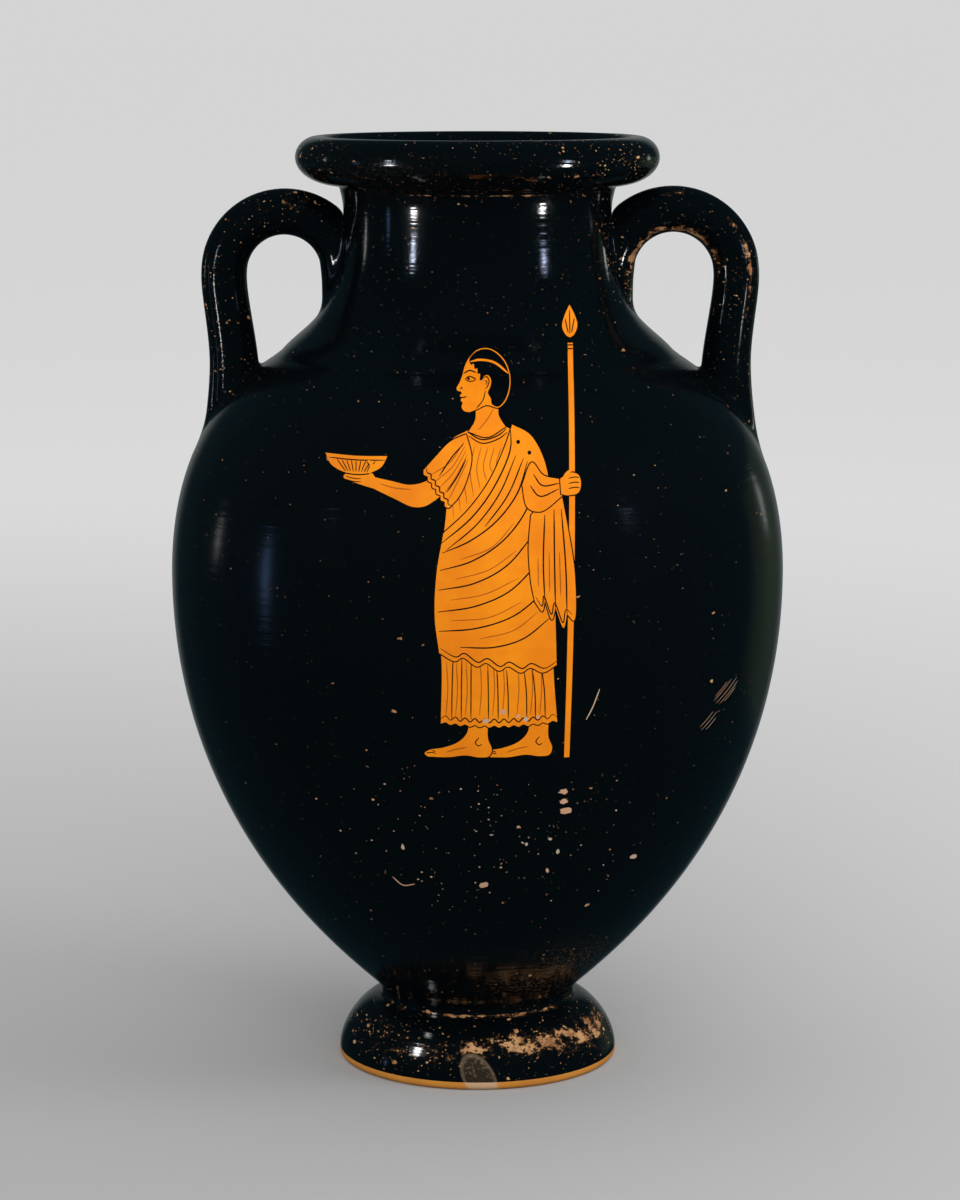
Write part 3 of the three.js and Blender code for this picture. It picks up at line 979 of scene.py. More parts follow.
class Nodes:
    """A short hand for adding and linking nodes of one tree."""

    def __init__(self, tree: bpy.types.NodeTree) -> None:
        """Keep the tree."""
        self.tree = tree

    def add(self, kind: str, **settings: object) -> bpy.types.Node:
        """Add a node and set its properties."""
        node = self.tree.nodes.new(kind)
        for name, value in settings.items():
            setattr(node, name, value)
        return node

    def link(self, source: object, target: bpy.types.NodeSocket) -> None:
        """Link a socket, or set a plain value, on a target socket."""
        if isinstance(source, bpy.types.NodeSocket):
            self.tree.links.new(source, target)
        else:
            target.default_value = source

    def math(self, operation: str, *values: object) -> bpy.types.NodeSocket:
        """Add a math node on sockets or numbers."""
        node = self.add("ShaderNodeMath", operation=operation)
        for value, socket in zip(values, node.inputs):
            self.link(value, socket)
        return node.outputs[0]

    def step(self, value: object, level: object, blur: float) -> bpy.types.NodeSocket:
        """Turn a value into a mask that rises from 0 to 1 about a level."""
        above = self.math("SUBTRACT", value, level)
        node = self.add("ShaderNodeMapRange", interpolation_type="SMOOTHSTEP")
        self.link(above, node.inputs["Value"])
        node.inputs["From Min"].default_value = -blur
        node.inputs["From Max"].default_value = blur
        return node.outputs["Result"]

    def noise(self, vector: object, scale: float, detail: float, rough: float) -> bpy.types.NodeSocket:
        """Add a noise texture and return its value."""
        node = self.add("ShaderNodeTexNoise")
        self.link(vector, node.inputs["Vector"])
        node.inputs["Scale"].default_value = scale
        node.inputs["Detail"].default_value = detail
        node.inputs["Roughness"].default_value = rough
        return node.outputs["Fac"]

    def blend(self, share: object, first: object, second: object) -> bpy.types.NodeSocket:
        """Mix two colours."""
        node = self.add("ShaderNodeMix", data_type="RGBA")
        self.link(share, node.inputs["Factor"])
        self.link(first, node.inputs["A"])
        self.link(second, node.inputs["B"])
        return next(s for s in node.outputs if s.type == "RGBA")

    def group(self, tree: bpy.types.NodeTree, **values: object) -> bpy.types.Node:
        """Place a node group and feed its inputs."""
        node = self.add("ShaderNodeGroup", node_tree=tree)
        for name, value in values.items():
            self.link(value, node.inputs[name])
        return node


@dataclass(frozen=True)
class Pinholes:
    """Pinholes of one size: cells in a metre, widest share of a cell, odds by pitting, and most cells hit."""

    cells: float
    size: float
    odds: float
    most: float


class Effects:
    """Shader node groups that several finishes share."""

    PINHOLES = (
        Pinholes(330.0, 0.44, 0.6, 0.2),
        Pinholes(760.0, 0.42, 1.0, 0.3),
        Pinholes(1700.0, 0.40, 2.5, 0.035),
    )
    UNWORN_LEVEL = 0.86
    WEAR_DROP = 0.46
    FRINGE_DROP = 0.05

    @staticmethod
    def _group(name: str, inputs: Sequence[tuple[str, float]], outputs: Sequence[str]) -> bpy.types.NodeTree:
        """Start a group with number sockets."""
        tree = bpy.data.node_groups.new(name, "ShaderNodeTree")
        for label, value in inputs:
            socket = tree.interface.new_socket(label, in_out="INPUT", socket_type="NodeSocketFloat")
            socket.default_value = value
        for label in outputs:
            tree.interface.new_socket(label, in_out="OUTPUT", socket_type="NodeSocketFloat")
        return tree

    @staticmethod
    def wheel_marks() -> bpy.types.NodeTree:
        """Fine level lines that the wheel and the brush leave round the jar.

        Returns:
            A group with a Height output.
        """
        tree = Effects._group("Wheel marks", [("Fineness", 420.0)], ["Height"])
        n = Nodes(tree)
        start, end = n.add("NodeGroupInput"), n.add("NodeGroupOutput")
        spot = n.add("ShaderNodeTexCoord")
        parts = n.add("ShaderNodeSeparateXYZ")
        n.link(spot.outputs["Object"], parts.inputs[0])
        level = n.math("MULTIPLY", parts.outputs["Z"], start.outputs["Fineness"])
        round_x = n.math("MULTIPLY", parts.outputs["X"], 5.0)
        round_y = n.math("MULTIPLY", parts.outputs["Y"], 5.0)
        joined = n.add("ShaderNodeCombineXYZ")
        for socket, value in zip(joined.inputs, (round_x, round_y, level)):
            n.link(value, socket)
        lines = n.noise(joined.outputs[0], 1.0, 3.0, 0.6)
        n.link(lines, end.inputs["Height"])
        return tree

    @staticmethod
    def glaze_loss() -> bpy.types.NodeTree:
        """Flaked and pitted places: ragged where the wear is strong, round pinholes elsewhere.

        Returns:
            A group with Loss and Fringe outputs, from 0 to 1.
        """
        tree = Effects._group("Glaze loss", [("Wear", 0.0), ("Pits", 0.0)], ["Loss", "Fringe"])
        n = Nodes(tree)
        start, end = n.add("NodeGroupInput"), n.add("NodeGroupOutput")
        spot = n.add("ShaderNodeTexCoord").outputs["Object"]
        flat = n.add("ShaderNodeVectorMath", operation="MULTIPLY")
        n.link(spot, flat.inputs[0])
        flat.inputs[1].default_value = (1.0, 1.0, 1.5)
        ragged = n.noise(flat.outputs[0], 150.0, 6.0, 0.72)
        level = n.math("MULTIPLY_ADD", start.outputs["Wear"], -Effects.WEAR_DROP, Effects.UNWORN_LEVEL)
        flake = n.step(ragged, level, 0.012)
        fringe = n.step(ragged, n.math("SUBTRACT", level, Effects.FRINGE_DROP), Effects.FRINGE_DROP)
        stir = n.add("ShaderNodeTexNoise")
        n.link(spot, stir.inputs["Vector"])
        stir.inputs["Scale"].default_value = 650.0
        stir.inputs["Detail"].default_value = 2.0
        bent = n.add("ShaderNodeVectorMath", operation="MULTIPLY_ADD")
        n.link(stir.outputs["Color"], bent.inputs[0])
        bent.inputs[1].default_value = (0.0022, 0.0022, 0.0022)
        n.link(flat.outputs[0], bent.inputs[2])
        holes = []
        for pinholes in Effects.PINHOLES:
            cells = n.add("ShaderNodeTexVoronoi")
            cells.inputs["Scale"].default_value = pinholes.cells
            n.link(bent.outputs[0], cells.inputs["Vector"])
            chance = n.add("ShaderNodeSeparateColor")
            n.link(cells.outputs["Color"], chance.inputs[0])
            reach = n.math("MULTIPLY", chance.outputs["Green"], pinholes.size)
            hole = n.math("LESS_THAN", cells.outputs["Distance"], reach)
            wanted = n.math("MULTIPLY", start.outputs["Pits"], pinholes.odds)
            odd = n.math("MINIMUM", wanted, pinholes.most)
            chosen = n.math("LESS_THAN", chance.outputs["Red"], odd)
            holes.append(n.math("MULTIPLY", hole, chosen))
        pits = n.math("MAXIMUM", n.math("MAXIMUM", holes[0], holes[1]), holes[2])
        n.link(n.math("MAXIMUM", flake, pits), end.inputs["Loss"])
        n.link(n.math("MAXIMUM", fringe, pits), end.inputs["Fringe"])
        return tree


@dataclass(frozen=True)
class Surface:
    """What every finish of the jar has: a name, a ground colour and a gloss."""

    name: str
    colour: Colour
    roughness: float

    def start(self) -> tuple[bpy.types.Material, Nodes, bpy.types.Node]:
        """Make a material with its shader.

        Returns:
            The material, its nodes and the shader node.
        """
        made = bpy.data.materials.new(self.name)
        made.use_nodes = True
        nodes = Nodes(made.node_tree)
        shader = made.node_tree.nodes["Principled BSDF"]
        shader.inputs["Base Color"].default_value = self.colour
        shader.inputs["Roughness"].default_value = self.roughness
        return made, nodes, shader

    @staticmethod
    def bumped(nodes: Nodes, shader: bpy.types.Node, height: object, depth: float) -> None:
        """Raise a shader's normal by a height, in metres of depth."""
        bump = nodes.add("ShaderNodeBump")
        bump.inputs["Strength"].default_value = 1.0
        bump.inputs["Distance"].default_value = depth
        nodes.link(height, bump.inputs["Height"])
        nodes.link(bump.outputs["Normal"], shader.inputs["Normal"])


@dataclass(frozen=True)
class GlazeSurface(Surface):
    """Black gloss with level brush lines, flaked to the clay where it is worn."""

    clay: Colour = (0.27, 0.105, 0.034, 1.0)
    pale_clay: Colour = (0.54, 0.295, 0.122, 1.0)
    fringe: Colour = (0.040, 0.020, 0.009, 1.0)
    stain: Colour = (0.12, 0.058, 0.018, 1.0)
    film: Colour = (0.22, 0.145, 0.075, 1.0)
    aged_roughness: float = 0.15
    dulled: float = 0.6
    tint_scale: float = 130.0
    dot_scale: float = 620.0
    fineness: float = 650.0
    depth: float = 0.00013

    def material(self, marks: bpy.types.NodeTree, loss: bpy.types.NodeTree) -> bpy.types.Material:
        """Build the material.

        Args:
            marks: the wheel marks group.
            loss: the glaze loss group.

        Returns:
            The material.
        """
        made, n, shader = self.start()
        held = {
            name: n.add("ShaderNodeAttribute", attribute_name=name).outputs["Fac"]
            for name in ("wear", "pits", "aged", "stain", "mend")
        }
        gone = n.group(loss, Wear=held["wear"], Pits=held["pits"])
        spot = n.add("ShaderNodeTexCoord").outputs["Object"]
        tint = n.step(n.noise(spot, self.tint_scale, 4.0, 0.65), 0.5, 0.10)
        clay = n.blend(tint, self.clay, self.pale_clay)
        dots = n.step(n.noise(spot, self.dot_scale, 2.0, 0.7), 0.59, 0.05)
        brown = n.math("MULTIPLY", held["stain"], n.math("MULTIPLY_ADD", dots, 0.96, 0.04))
        ground = n.blend(brown, self.colour, self.stain)
        edge = n.blend(gone.outputs["Fringe"], ground, self.fringe)
        worn = n.blend(gone.outputs["Loss"], edge, clay)
        patch = n.step(held["mend"], 0.5, 0.05)
        rim = n.math("SUBTRACT", patch, n.step(held["mend"], 0.62, 0.05))
        speckled = n.math("MULTIPLY", patch, n.math("MULTIPLY_ADD", dots, 0.30, 0.12))
        film = n.math("MULTIPLY_ADD", rim, 0.28, speckled)
        n.link(n.blend(film, worn, self.film), shader.inputs["Base Color"])
        skin = n.math("MULTIPLY_ADD", held["aged"], self.aged_roughness - self.roughness, self.roughness)
        dull = n.math("MAXIMUM", n.math("MAXIMUM", gone.outputs["Loss"], brown), film)
        n.link(n.math("MULTIPLY_ADD", dull, self.dulled, skin), shader.inputs["Roughness"])
        lines = n.group(marks, Fineness=self.fineness).outputs["Height"]
        self.bumped(n, shader, lines, self.depth)
        return made


@dataclass(frozen=True)
class ClaySurface(Surface):
    """Fired clay: mottled, with level marks, dull or a little polished."""

    other: Colour = (0.9, 0.3, 0.02, 1.0)
    film: Colour = (0.56, 0.44, 0.32, 1.0)
    film_share: float = 0.6
    cloud_scale: float = 45.0
    specular: float = 0.2
    fineness: float = 300.0
    depth: float = 0.00002

    def material(self, marks: bpy.types.NodeTree, loss: bpy.types.NodeTree) -> bpy.types.Material:
        """Build the material.

        Args:
            marks: the wheel marks group.
            loss: the glaze loss group, which bare clay has no use for.

        Returns:
            The material.
        """
        made, n, shader = self.start()
        spot = n.add("ShaderNodeTexCoord").outputs["Object"]
        cloud = n.noise(spot, self.cloud_scale, 5.0, 0.62)
        share = n.step(cloud, 0.5, 0.22)
        lines = n.group(marks, Fineness=self.fineness).outputs["Height"]
        mixed = n.math("MULTIPLY_ADD", n.math("SUBTRACT", lines, 0.5), 0.5, share)
        film = n.step(n.add("ShaderNodeAttribute", attribute_name="mend").outputs["Fac"], 0.5, 0.12)
        ground = n.blend(mixed, self.colour, self.other)
        covered = n.math("MULTIPLY", film, self.film_share)
        n.link(n.blend(covered, ground, self.film), shader.inputs["Base Color"])
        shader.inputs["Specular IOR Level"].default_value = self.specular
        n.link(n.math("MULTIPLY_ADD", cloud, 0.16, self.roughness - 0.08), shader.inputs["Roughness"])
        self.bumped(n, shader, lines, self.depth)
        return made


FINISHES: dict[Finish, Surface] = {
    Finish.GLAZE: GlazeSurface("Black glaze", (0.0010, 0.0022, 0.0030, 1.0), 0.10),
    Finish.CLAY: ClaySurface(
        "Reserved clay", (0.90, 0.272, 0.001, 1.0), 0.5, other=(0.79, 0.205, 0.001, 1.0)
    ),
    Finish.WASH: ClaySurface(
        "Thin glaze line", (0.46, 0.105, 0.002, 1.0), 0.45, other=(0.34, 0.070, 0.002, 1.0)
    ),
    Finish.BARE: ClaySurface(
        "Bare clay", (0.46, 0.20, 0.075, 1.0), 0.75, other=(0.36, 0.145, 0.05, 1.0), depth=0.00006
    ),
    Finish.BAND: ClaySurface(
        "Reserved band", (0.60, 0.25, 0.035, 1.0), 0.55, other=(0.50, 0.19, 0.03, 1.0)
    ),
    Finish.CHIP: ClaySurface(
        "Chipped clay", (0.60, 0.30, 0.16, 1.0), 0.8, other=(0.46, 0.40, 0.32, 1.0), depth=0.00008
    ),
}


@dataclass(frozen=True)
class Rub:
    """A worn place on the wall: where it is, how far it reaches, and its wear, pitting and brown stain."""

    centre: tuple[float, float, float]
    reach: tuple[float, float, float]
    wear: float
    pits: float = 0.0
    stain: float = 0.0

    def at(self, points: np.ndarray) -> np.ndarray:
        """Return how much of the rub reaches each point, from 0 to 1."""
        away = (points - np.array(self.centre)) / np.array(self.reach)
        return np.exp(-np.sum(away**2, axis=1))


@dataclass(frozen=True)
class GripRub:
    """A worn place on a handle: its side, its place along and round the bar, its reaches and its wear."""

    side: int
    along: float
    around: float
    reach_along: float
    reach_around: float
    wear: float
    pits: float = 0.0

    def at(self, grip: np.ndarray, around: np.ndarray) -> np.ndarray:
        """Return how much of the rub reaches each point of the bars, from 0 to 1."""
        along = np.abs(grip) - 1.0
        turn = (around - self.around + 0.5) % 1.0 - 0.5
        share = np.exp(-(((along - self.along) / self.reach_along) ** 4) - (turn / self.reach_around) ** 2)
        return share * (grip * self.side > 0.5)


@dataclass
class Wear:
    """The jar's wear: rubs on foot, wall, lip and handles, the mend on the foot and the dulled belly."""

    rubs: tuple[Rub, ...] = (
        Rub((33.0, -46.0, 18.0), (24.0, 28.0, 7.5), 0.70, 0.18),
        Rub((55.0, -22.0, 19.0), (12.0, 24.0, 10.0), 0.54, 0.26),
        Rub((6.0, -56.0, 19.0), (16.0, 22.0, 5.0), 0.52, 0.14),
        Rub((-14.0, -56.0, 14.0), (14.0, 22.0, 6.0), 0.36, 0.12),
        Rub((-42.0, -38.0, 16.0), (22.0, 30.0, 9.0), 0.50, 0.34),
        Rub((0.0, 0.0, 14.0), (80.0, 80.0, 13.0), 0.10, 0.03),
        Rub((0.0, -30.0, 28.4), (56.0, 60.0, 0.8), 0.74, 0.04),
        Rub((24.0, -46.0, 47.0), (19.0, 26.0, 9.0), 0.08, 0.04, 1.0),
        Rub((40.0, -46.0, 60.0), (16.0, 26.0, 9.0), 0.04, 0.03, 0.8),
        Rub((0.0, -40.0, 391.4), (70.0, 60.0, 0.8), 0.80, 0.03),
        Rub((54.0, -44.0, 406.0), (34.0, 50.0, 9.0), 0.24, 0.20),
        Rub((-76.0, -20.0, 404.0), (14.0, 40.0, 12.0), 0.18, 0.10),
        Rub((-40.0, -60.0, 398.0), (36.0, 40.0, 8.0), 0.0, 0.0, 0.20),
        Rub((0.0, 0.0, 404.0), (100.0, 100.0, 14.0), 0.06, 0.012),
        Rub((56.0, -24.0, 376.0), (9.0, 30.0, 20.0), 0.06, 0.08),
        Rub((0.0, -80.0, 345.0), (70.0, 60.0, 22.0), 0.0, 0.008),
    )
    grips: tuple[GripRub, ...] = (
        GripRub(1, 0.33, 0.60, 0.28, 0.055, 0.66),
        GripRub(1, 0.55, 0.845, 0.12, 0.030, 0.66, 0.10),
        GripRub(1, 0.33, 0.87, 0.030, 0.05, 0.50),
        GripRub(1, 0.55, 0.72, 0.20, 0.12, 0.16, 0.09),
        GripRub(1, 0.08, 0.66, 0.10, 0.12, 0.24, 0.12),
        GripRub(-1, 0.34, 0.84, 0.09, 0.13, 0.36, 0.14),
        GripRub(-1, 0.62, 0.80, 0.22, 0.16, 0.20, 0.09),
        GripRub(-1, 0.55, 0.98, 0.15, 0.08, 0.24, 0.08),
    )
    ground: float = 0.05
    pinholes: float = 0.003
    grip_wear: float = 0.06
    grip_pits: float = 0.006
    mend_place: tuple[float, float, float] = (0.6, -60.0, 6.0)
    mend_reach: tuple[float, float, float] = (9.0, 20.0, 12.0)
    mend_lean: float = 0.35
    mend_top: float = 24.0
    belly: float = 200.0
    belly_reach: float = 105.0

    def of(self, points: np.ndarray, grip: np.ndarray, around: np.ndarray) -> dict[str, np.ndarray]:
        """Add up the wear at points.

        Args:
            points: places on the jar.
            grip: 0 on the wall; on a handle its side times one more than the share of its length.
            around: place round the bar on a handle, from 0 to 1.

        Returns:
            The values of each wear attribute.
        """
        on = np.abs(grip) > 0.5
        wear = self.ground + self.grip_wear * on
        pits = self.pinholes + self.grip_pits * on
        stain = np.zeros(len(points))
        for rub in self.rubs:
            share = rub.at(points) * ~on
            wear = wear + rub.wear * share
            pits = pits + rub.pits * share
            stain += rub.stain * share
        for rub in self.grips:
            share = rub.at(grip, around)
            wear = wear + rub.wear * share
            pits = pits + rub.pits * share
        upright = points + np.outer(points[:, 2] - self.mend_place[2], (self.mend_lean, 0.0, 0.0))
        mend = Rub(self.mend_place, self.mend_reach, 1.0).at(upright) * (points[:, 2] < self.mend_top)
        aged = np.exp(-(((points[:, 2] - self.belly) / self.belly_reach) ** 4)) * ~on
        return {"wear": wear, "pits": pits, "stain": np.clip(stain, 0, 1), "mend": mend, "aged": aged}


@dataclass
class Amphora:
    """The whole jar as one closed skin."""

    profile: Profile = field(default_factory=Profile)
    left: Handle = field(default_factory=lambda: Handle(-1, 111.8))
    right: Handle = field(default_factory=lambda: Handle(1, 114.2))
    wear: Wear = field(default_factory=Wear)
    weld: float = 0.02

    def build(self) -> bpy.types.Object:
        """Make the jar.

        Returns:
            The finished piece.
        """
        picture = Picture()
        StandingFigure(picture).draw()
        Scars().lay(picture)
        lofts = [handle.loft(self.profile) for handle in (self.left, self.right)]
        roots = [loop for loops, _, _ in lofts for loop in loops]
        reverse = Picture()
        MantledFigure(reverse, shift=0.0).draw()
        coats = [(finish, self.profile.on_front(loop)) for finish, loop in picture.coats]
        coats += [(finish, self.profile.on_front(loop) + (math.pi, 0.0)) for finish, loop in reverse.coats]
        sheet = Sheet(self.profile)
        sheet.lay(coats, roots)
        LOG.info("skin: %d faces, %d painted areas", len(sheet.faces), len(coats))
        marks, loss = Effects.wheel_marks(), Effects.glaze_loss()
        materials = {finish: surface.material(marks, loss) for finish, surface in FINISHES.items()}
        wrapped = self._wrapped(sheet, materials)
        piece = self._joined(wrapped, lofts, materials)
        self._worn(piece)
        return piece

    def _wrapped(self, sheet: Sheet, materials: dict[Finish, bpy.types.Material]) -> bpy.types.Mesh:
        """Turn the flat sheet into the jar's wall with a node tree.

        Args:
            sheet: the flat skin.
            materials: the material of each finish.

        Returns:
            The wall's mesh, with the sheet's coordinates kept as attributes.
        """
        flat = np.vstack(sheet.points)
        mesh = bpy.data.meshes.new("skin")
        spots = np.column_stack([flat[:, 0], flat[:, 1] * MM, np.zeros(len(flat))])
        mesh.from_pydata(spots.tolist(), [], sheet.faces)
        for name, values in (("turn", flat[:, 0]), ("run", flat[:, 1])):
            mesh.attributes.new(name, "FLOAT", "POINT").data.foreach_set("value", values.astype(np.float32))
        kinds = np.array(sheet.finishes, np.int32)
        mesh.attributes.new("finish", "INT", "FACE").data.foreach_set("value", kinds)
        for finish in FINISHES:
            mesh.materials.append(materials[finish])
        skin = bpy.data.objects.new("skin", mesh)
        bpy.context.scene.collection.objects.link(skin)
        curve = bpy.data.curves.new("section", "CURVE")
        curve.dimensions = "3D"
        run = curve.splines.new("POLY")
        run.points.add(len(self.profile.line) - 1)
        for point, (radius, height) in zip(run.points, self.profile.line):
            point.co = (radius * MM, 0.0, height * MM, 1.0)
        section = bpy.data.objects.new("section", curve)
        bpy.context.scene.collection.objects.link(section)
        tree, socket = self._turning(materials)
        turning = skin.modifiers.new("turning", "NODES")
        turning.node_group = tree
        turning[socket] = section
        depsgraph = bpy.context.evaluated_depsgraph_get()
        made = bpy.data.meshes.new_from_object(skin.evaluated_get(depsgraph))
        skin.modifiers.clear()
        bpy.data.objects.remove(skin)
        bpy.data.objects.remove(section)
        return made

    @staticmethod
    def _turning(materials: dict[Finish, bpy.types.Material]) -> tuple[bpy.types.NodeTree, str]:
        """Build the tree that wraps a sheet round the axis along a section.

        Args:
            materials: the material of each finish.

        Returns:
            The tree, and the identifier of its section input.
        """
        tree = bpy.data.node_groups.new("Turning", "GeometryNodeTree")
        tree.interface.new_socket("Sheet", in_out="INPUT", socket_type="NodeSocketGeometry")
        section = tree.interface.new_socket("Section", in_out="INPUT", socket_type="NodeSocketObject")
        tree.interface.new_socket("Wall", in_out="OUTPUT", socket_type="NodeSocketGeometry")
        n = Nodes(tree)
        start, end = n.add("NodeGroupInput"), n.add("NodeGroupOutput")
        info = n.add("GeometryNodeObjectInfo")
        n.link(start.outputs["Section"], info.inputs["Object"])
        flat = n.add("ShaderNodeSeparateXYZ")
        n.link(n.add("GeometryNodeInputPosition").outputs[0], flat.inputs[0])
        sample = n.add("GeometryNodeSampleCurve", mode="LENGTH")
        n.link(info.outputs["Geometry"], sample.inputs["Curves"])
        n.link(flat.outputs["Y"], sample.inputs["Length"])
        spot = n.add("ShaderNodeSeparateXYZ")
        n.link(sample.outputs["Position"], spot.inputs[0])
        across = n.math("MULTIPLY", spot.outputs["X"], n.math("SINE", flat.outputs["X"]))
        deep = n.math("MULTIPLY", spot.outputs["X"], n.math("COSINE", flat.outputs["X"]))
        joined = n.add("ShaderNodeCombineXYZ")
        n.link(across, joined.inputs["X"])
        n.link(n.math("MULTIPLY", deep, -1.0), joined.inputs["Y"])
        n.link(spot.outputs["Z"], joined.inputs["Z"])
        move = n.add("GeometryNodeSetPosition")
        n.link(start.outputs["Sheet"], move.inputs["Geometry"])
        n.link(joined.outputs[0], move.inputs["Position"])
        real = n.add("GeometryNodeRealizeInstances")
        n.link(move.outputs[0], real.inputs[0])
        kind = n.add("GeometryNodeInputNamedAttribute", data_type="INT")
        kind.inputs["Name"].default_value = "finish"
        last = real.outputs[0]
        for finish in FINISHES:
            same = n.add("FunctionNodeCompare", data_type="INT", operation="EQUAL")
            whole = [s for s in same.inputs if s.type == "INT"]
            n.link(next(s for s in kind.outputs if s.type == "INT"), whole[0])
            whole[1].default_value = finish.value
            dress = n.add("GeometryNodeSetMaterial")
            n.link(last, dress.inputs["Geometry"])
            n.link(same.outputs[0], dress.inputs["Selection"])
            dress.inputs["Material"].default_value = materials[finish]
            last = dress.outputs[0]
        n.link(last, end.inputs[0])
        return tree, section.identifier

    def _joined(
        self, wall: bpy.types.Mesh, lofts: Sequence[tuple], materials: dict[Finish, bpy.types.Material]
    ) -> bpy.types.Object:
        """Weld the handles into the wall and set the normals.

        Args:
            wall: the wrapped wall.
            lofts: each handle's root loops, rings and shares.
            materials: the material of each finish.

        Returns:
            The jar's object.
        """
        work = bmesh.new()
        work.from_mesh(wall)
        run = work.verts.layers.float["run"]
        grip, round_ = work.verts.layers.float.new("grip"), work.verts.layers.float.new("round")
        for handle, (_, rings, shares) in zip((self.left, self.right), lofts):
            rows = []
            for ring, share in zip(rings, shares):
                row = []
                for k, (point, t) in enumerate(zip(ring, share)):
                    vert = work.verts.new(Vector(point * MM))
                    vert[run] = -1.0
                    vert[grip] = (1.0 + t) * handle.side
                    vert[round_] = k / handle.sides
                    row.append(vert)
                rows.append(row)
            for low, high in zip(rows, rows[1:]):
                for k in range(handle.sides):
                    j = (k + 1) % handle.sides
                    corners = (low[k], high[k], high[j], low[j])
                    work.faces.new(corners if handle.side < 0 else corners[::-1])
        bmesh.ops.remove_doubles(work, verts=work.verts, dist=self.weld * MM)
        loose = [v for v in work.verts if not v.link_faces]
        bmesh.ops.delete(work, geom=loose, context="VERTS")
        bmesh.ops.recalc_face_normals(work, faces=work.faces)
        holes = [e for e in work.edges if len(e.link_faces) != 2]
        LOG.info("open or crossed edges: %d", len(holes))
        for face in work.faces:
            face.smooth = True
        mesh = bpy.data.meshes.new("amphora_skin")
        work.to_mesh(mesh)
        work.free()
        for finish in FINISHES:
            mesh.materials.append(materials[finish])
        self._shaded(mesh)
        piece = bpy.data.objects.new("amphora_skin", mesh)
        bpy.context.scene.collection.objects.link(piece)
        return piece

    @staticmethod
    def _read(mesh: bpy.types.Mesh, name: str) -> np.ndarray:
        """Read a number attribute of a mesh's points."""
        values = np.zeros(len(mesh.vertices))
        mesh.attributes[name].data.foreach_get("value", values)
        return values

    @staticmethod
    def _read_vectors(mesh: bpy.types.Mesh, name: str) -> np.ndarray:
        """Read a vector property of a mesh's points, one row each."""
        values = np.zeros(len(mesh.vertices) * 3)
        mesh.vertices.foreach_get(name, values)
        return values.reshape(-1, 3)

    def _shaded(self, mesh: bpy.types.Mesh) -> None:
        """Give the wall the section's own normals and the handles their mesh's."""
        normals = self._read_vectors(mesh, "normal")
        turn, run = self._read(mesh, "turn"), self._read(mesh, "run")
        wall = run >= 0
        normals[wall] = self.profile.facing(turn[wall], run[wall])
        mesh.normals_split_custom_set_from_vertices(normals.tolist())

    def _worn(self, piece: bpy.types.Object) -> None:
        """Store the wear on the piece's points."""
        mesh = piece.data
        spots = self._read_vectors(mesh, "co") / MM
        grip, around = self._read(mesh, "grip"), self._read(mesh, "round")
        for name, values in self.wear.of(spots, grip, around).items():
            mesh.attributes.new(name, "FLOAT", "POINT").data.foreach_set("value", values.astype(np.float32))


@dataclass(frozen=True)
class Lamp:
    """A flat lamp aimed at the jar: place, size, power, colour, and whether it only glints or only lights."""

    name: str
    place: tuple[float, float, float]
    size: tuple[float, float]
    power: float
    colour: tuple[float, float, float] = (1.0, 1.0, 1.0)
    aim: tuple[float, float, float] = (0.0, 0.0, 0.25)
    spread: float = 20.0
    glint: bool = True

    def hang(self) -> None:
        """Put the lamp in the scene."""
        data = bpy.data.lights.new(self.name, "AREA")
        data.shape = "RECTANGLE"
        data.size, data.size_y = self.size
        data.energy = self.power
        data.color = self.colour
        data.spread = math.radians(self.spread)
        held = bpy.data.objects.new(self.name, data)
        held.location = self.place
        held.rotation_euler = (Vector(self.aim) - Vector(self.place)).to_track_quat("-Z", "Y").to_euler()
        held.visible_camera = False
        held.visible_glossy = self.glint
        held.visible_diffuse = not self.glint
        bpy.context.scene.collection.objects.link(held)


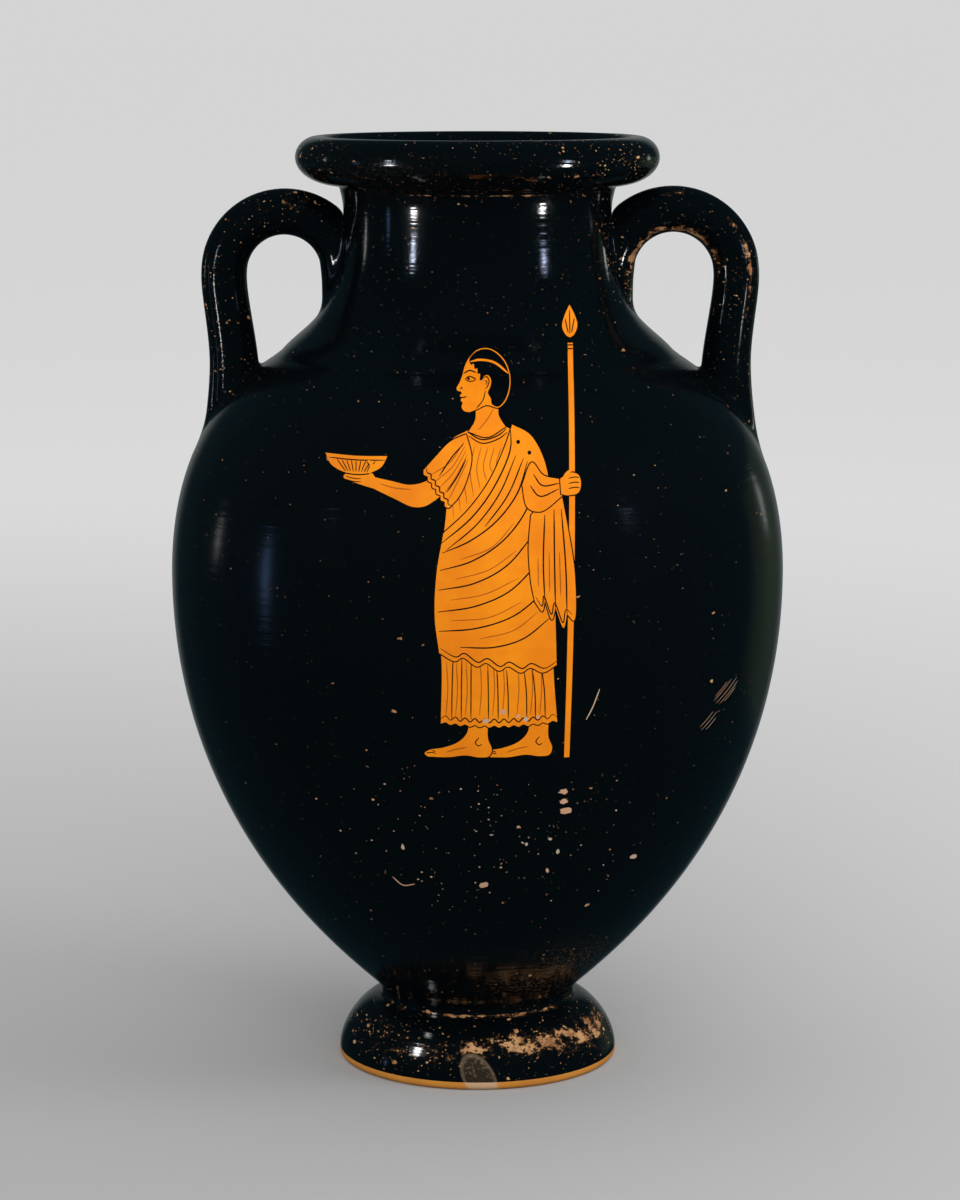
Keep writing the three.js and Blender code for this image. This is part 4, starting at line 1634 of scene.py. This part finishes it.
@dataclass
class Studio:
    """A pale floor with painted shade near the jar, soft light and the camera."""

    floor_size: float = 900.0
    # Painted shade on the floor: its dark colour near the jar, its pale colour far off, the middle of the
    # shaded pool and how far it reaches.
    floor_painted_shade: Colour = (0.41, 0.41, 0.41, 1.0)
    floor_far: Colour = (0.80, 0.80, 0.80, 1.0)
    painted_shade_middle: tuple[float, float, float] = (-0.45, -0.25, 0.0)
    painted_shade_reach: float = 2.4
    sky: float = 0.66
    mirrored_front: Colour = (0.010, 0.024, 0.030, 1.0)
    mirrored_back: Colour = (0.20, 0.22, 0.22, 1.0)
    lamps: tuple[Lamp, ...] = (
        Lamp("left low glint", (-0.69, -0.50, 0.25), (0.05, 0.05), 0.0140,
             aim=(-0.025, -0.054, 0.384), spread=17.0),
        Lamp("left high glint", (-0.69, -0.50, 0.46), (0.045, 0.022), 0.0042,
             (0.7, 0.8, 1.0), (-0.026, -0.053, 0.368), 17.0),
        Lamp("right low glint", (0.70, -0.475, 0.17), (0.05, 0.05), 0.0140,
             aim=(0.027, -0.053, 0.386), spread=17.0),
        Lamp("right high glint", (0.70, -0.475, 0.50), (0.045, 0.028), 0.0034,
             (0.6, 0.7, 1.0), (0.028, -0.053, 0.363), 17.0),
        Lamp("foot glint", (-0.62, -0.40, 0.50), (0.07, 0.08), 0.014,
             aim=(-0.025, -0.053, 0.016), spread=16.0),
        Lamp("left strip", (-1.14, 0.37, 0.40), (0.03, 0.40), 0.0008,
             aim=(-0.048, -0.035, 0.38), spread=12.0),
        Lamp("right strip", (0.86, 0.83, 0.40), (0.03, 0.40), 0.0008,
             aim=(0.052, -0.022, 0.38), spread=12.0),
        Lamp("left card", (-1.18, -0.21, 0.20), (0.05, 0.35), 0.0027,
             (0.30, 0.50, 1.0), (-0.083, -0.106, 0.225), 26.0),
        Lamp("right card", (0.95, 0.92, 0.10), (0.75, 0.70), 0.011,
             (0.75, 0.95, 0.50), (0.12, -0.05, 0.20), 50.0),
        Lamp("front fill", (0.15, -2.6, 1.9), (2.2, 1.6), 6.8, spread=75.0, glint=False),
        Lamp("right fill", (1.7, -0.5, 1.2), (0.9, 0.9), 2.3, aim=(0.3, 0.0, 0.0), spread=80.0, glint=False),
    )
    camera_place: tuple[float, float, float] = (0.00112, -1.51887, 0.46041)
    camera_pitch: float = 9.4126
    lens: float = 103.055
    sensor: float = 36.0

    def build(self) -> None:
        """Set up floor, light and camera."""
        self._floor()
        for lamp in self.lamps:
            lamp.hang()
        self._sky()
        self._camera()

    def _floor(self) -> None:
        """Lay the floor with painted shade: darker near the jar, paler further off."""
        half = self.floor_size / 2
        mesh = bpy.data.meshes.new("floor")
        corners = [(-half, -half, 0.0), (half, -half, 0.0), (half, half, 0.0), (-half, half, 0.0)]
        mesh.from_pydata(corners, [], [(0, 1, 2, 3)])
        floor = bpy.data.objects.new("floor", mesh)
        bpy.context.scene.collection.objects.link(floor)
        made = bpy.data.materials.new("Pale floor")
        made.use_nodes = True
        shader = made.node_tree.nodes["Principled BSDF"]
        n = Nodes(made.node_tree)
        # Painted shade: the floor's colour runs from the dark near colour, round a point left of and in front
        # of the jar, to the pale far colour.
        away = n.add("ShaderNodeVectorMath", operation="DISTANCE")
        n.link(n.add("ShaderNodeTexCoord").outputs["Object"], away.inputs[0])
        away.inputs[1].default_value = self.painted_shade_middle
        share = n.step(away.outputs["Value"], 0.5 * self.painted_shade_reach, 0.5 * self.painted_shade_reach)
        n.link(n.blend(share, self.floor_painted_shade, self.floor_far), shader.inputs["Base Color"])
        shader.inputs["Roughness"].default_value = 0.9
        shader.inputs["Specular IOR Level"].default_value = 0.0
        mesh.materials.append(made)
        floor.visible_glossy = False

    def _sky(self) -> None:
        """Light the room: pale to the eye and behind the jar, dim in what the jar mirrors from the front."""
        world = bpy.data.worlds.new("room")
        bpy.context.scene.world = world
        world.use_nodes = True
        n = Nodes(world.node_tree)
        ground = world.node_tree.nodes["Background"]
        path = n.add("ShaderNodeLightPath")
        way = n.add("ShaderNodeSeparateXYZ")
        n.link(n.add("ShaderNodeTexCoord").outputs["Generated"], way.inputs[0])
        behind = n.step(way.outputs["Y"], 0.93, 0.06)
        mirrored = n.blend(behind, self.mirrored_front, self.mirrored_back)
        lit = self.sky / self.floor_far[0]
        seen = (self.sky, self.sky, self.sky, 1.0)
        room = n.blend(path.outputs["Is Camera Ray"], (lit, lit, lit, 1.0), seen)
        n.link(n.blend(path.outputs["Is Glossy Ray"], room, mirrored), ground.inputs["Color"])
        ground.inputs["Strength"].default_value = 1.0

    def _camera(self) -> None:
        """Set the camera in front of the jar, a little above its lip."""
        data = bpy.data.cameras.new("camera")
        data.lens = self.lens
        data.sensor_width = self.sensor
        data.clip_end = 1000.0
        camera = bpy.data.objects.new("camera", data)
        camera.location = self.camera_place
        camera.rotation_euler = (math.radians(90.0 - self.camera_pitch), 0.0, 0.0)
        bpy.context.scene.collection.objects.link(camera)
        bpy.context.scene.camera = camera


def main() -> None:
    """Build the jar and the studio, and report each piece."""
    logging.basicConfig(level=logging.INFO, format="%(name)s: %(message)s")
    jar = Amphora().build()
    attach(jar, "root")
    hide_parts("amphora")
    LOG.info("%s: %d vertices, %d faces", jar.name, len(jar.data.vertices), len(jar.data.polygons))
    bpy.context.scene.view_settings.view_transform = "Standard"
    Studio().build()


if __name__ == "__main__":
    main()
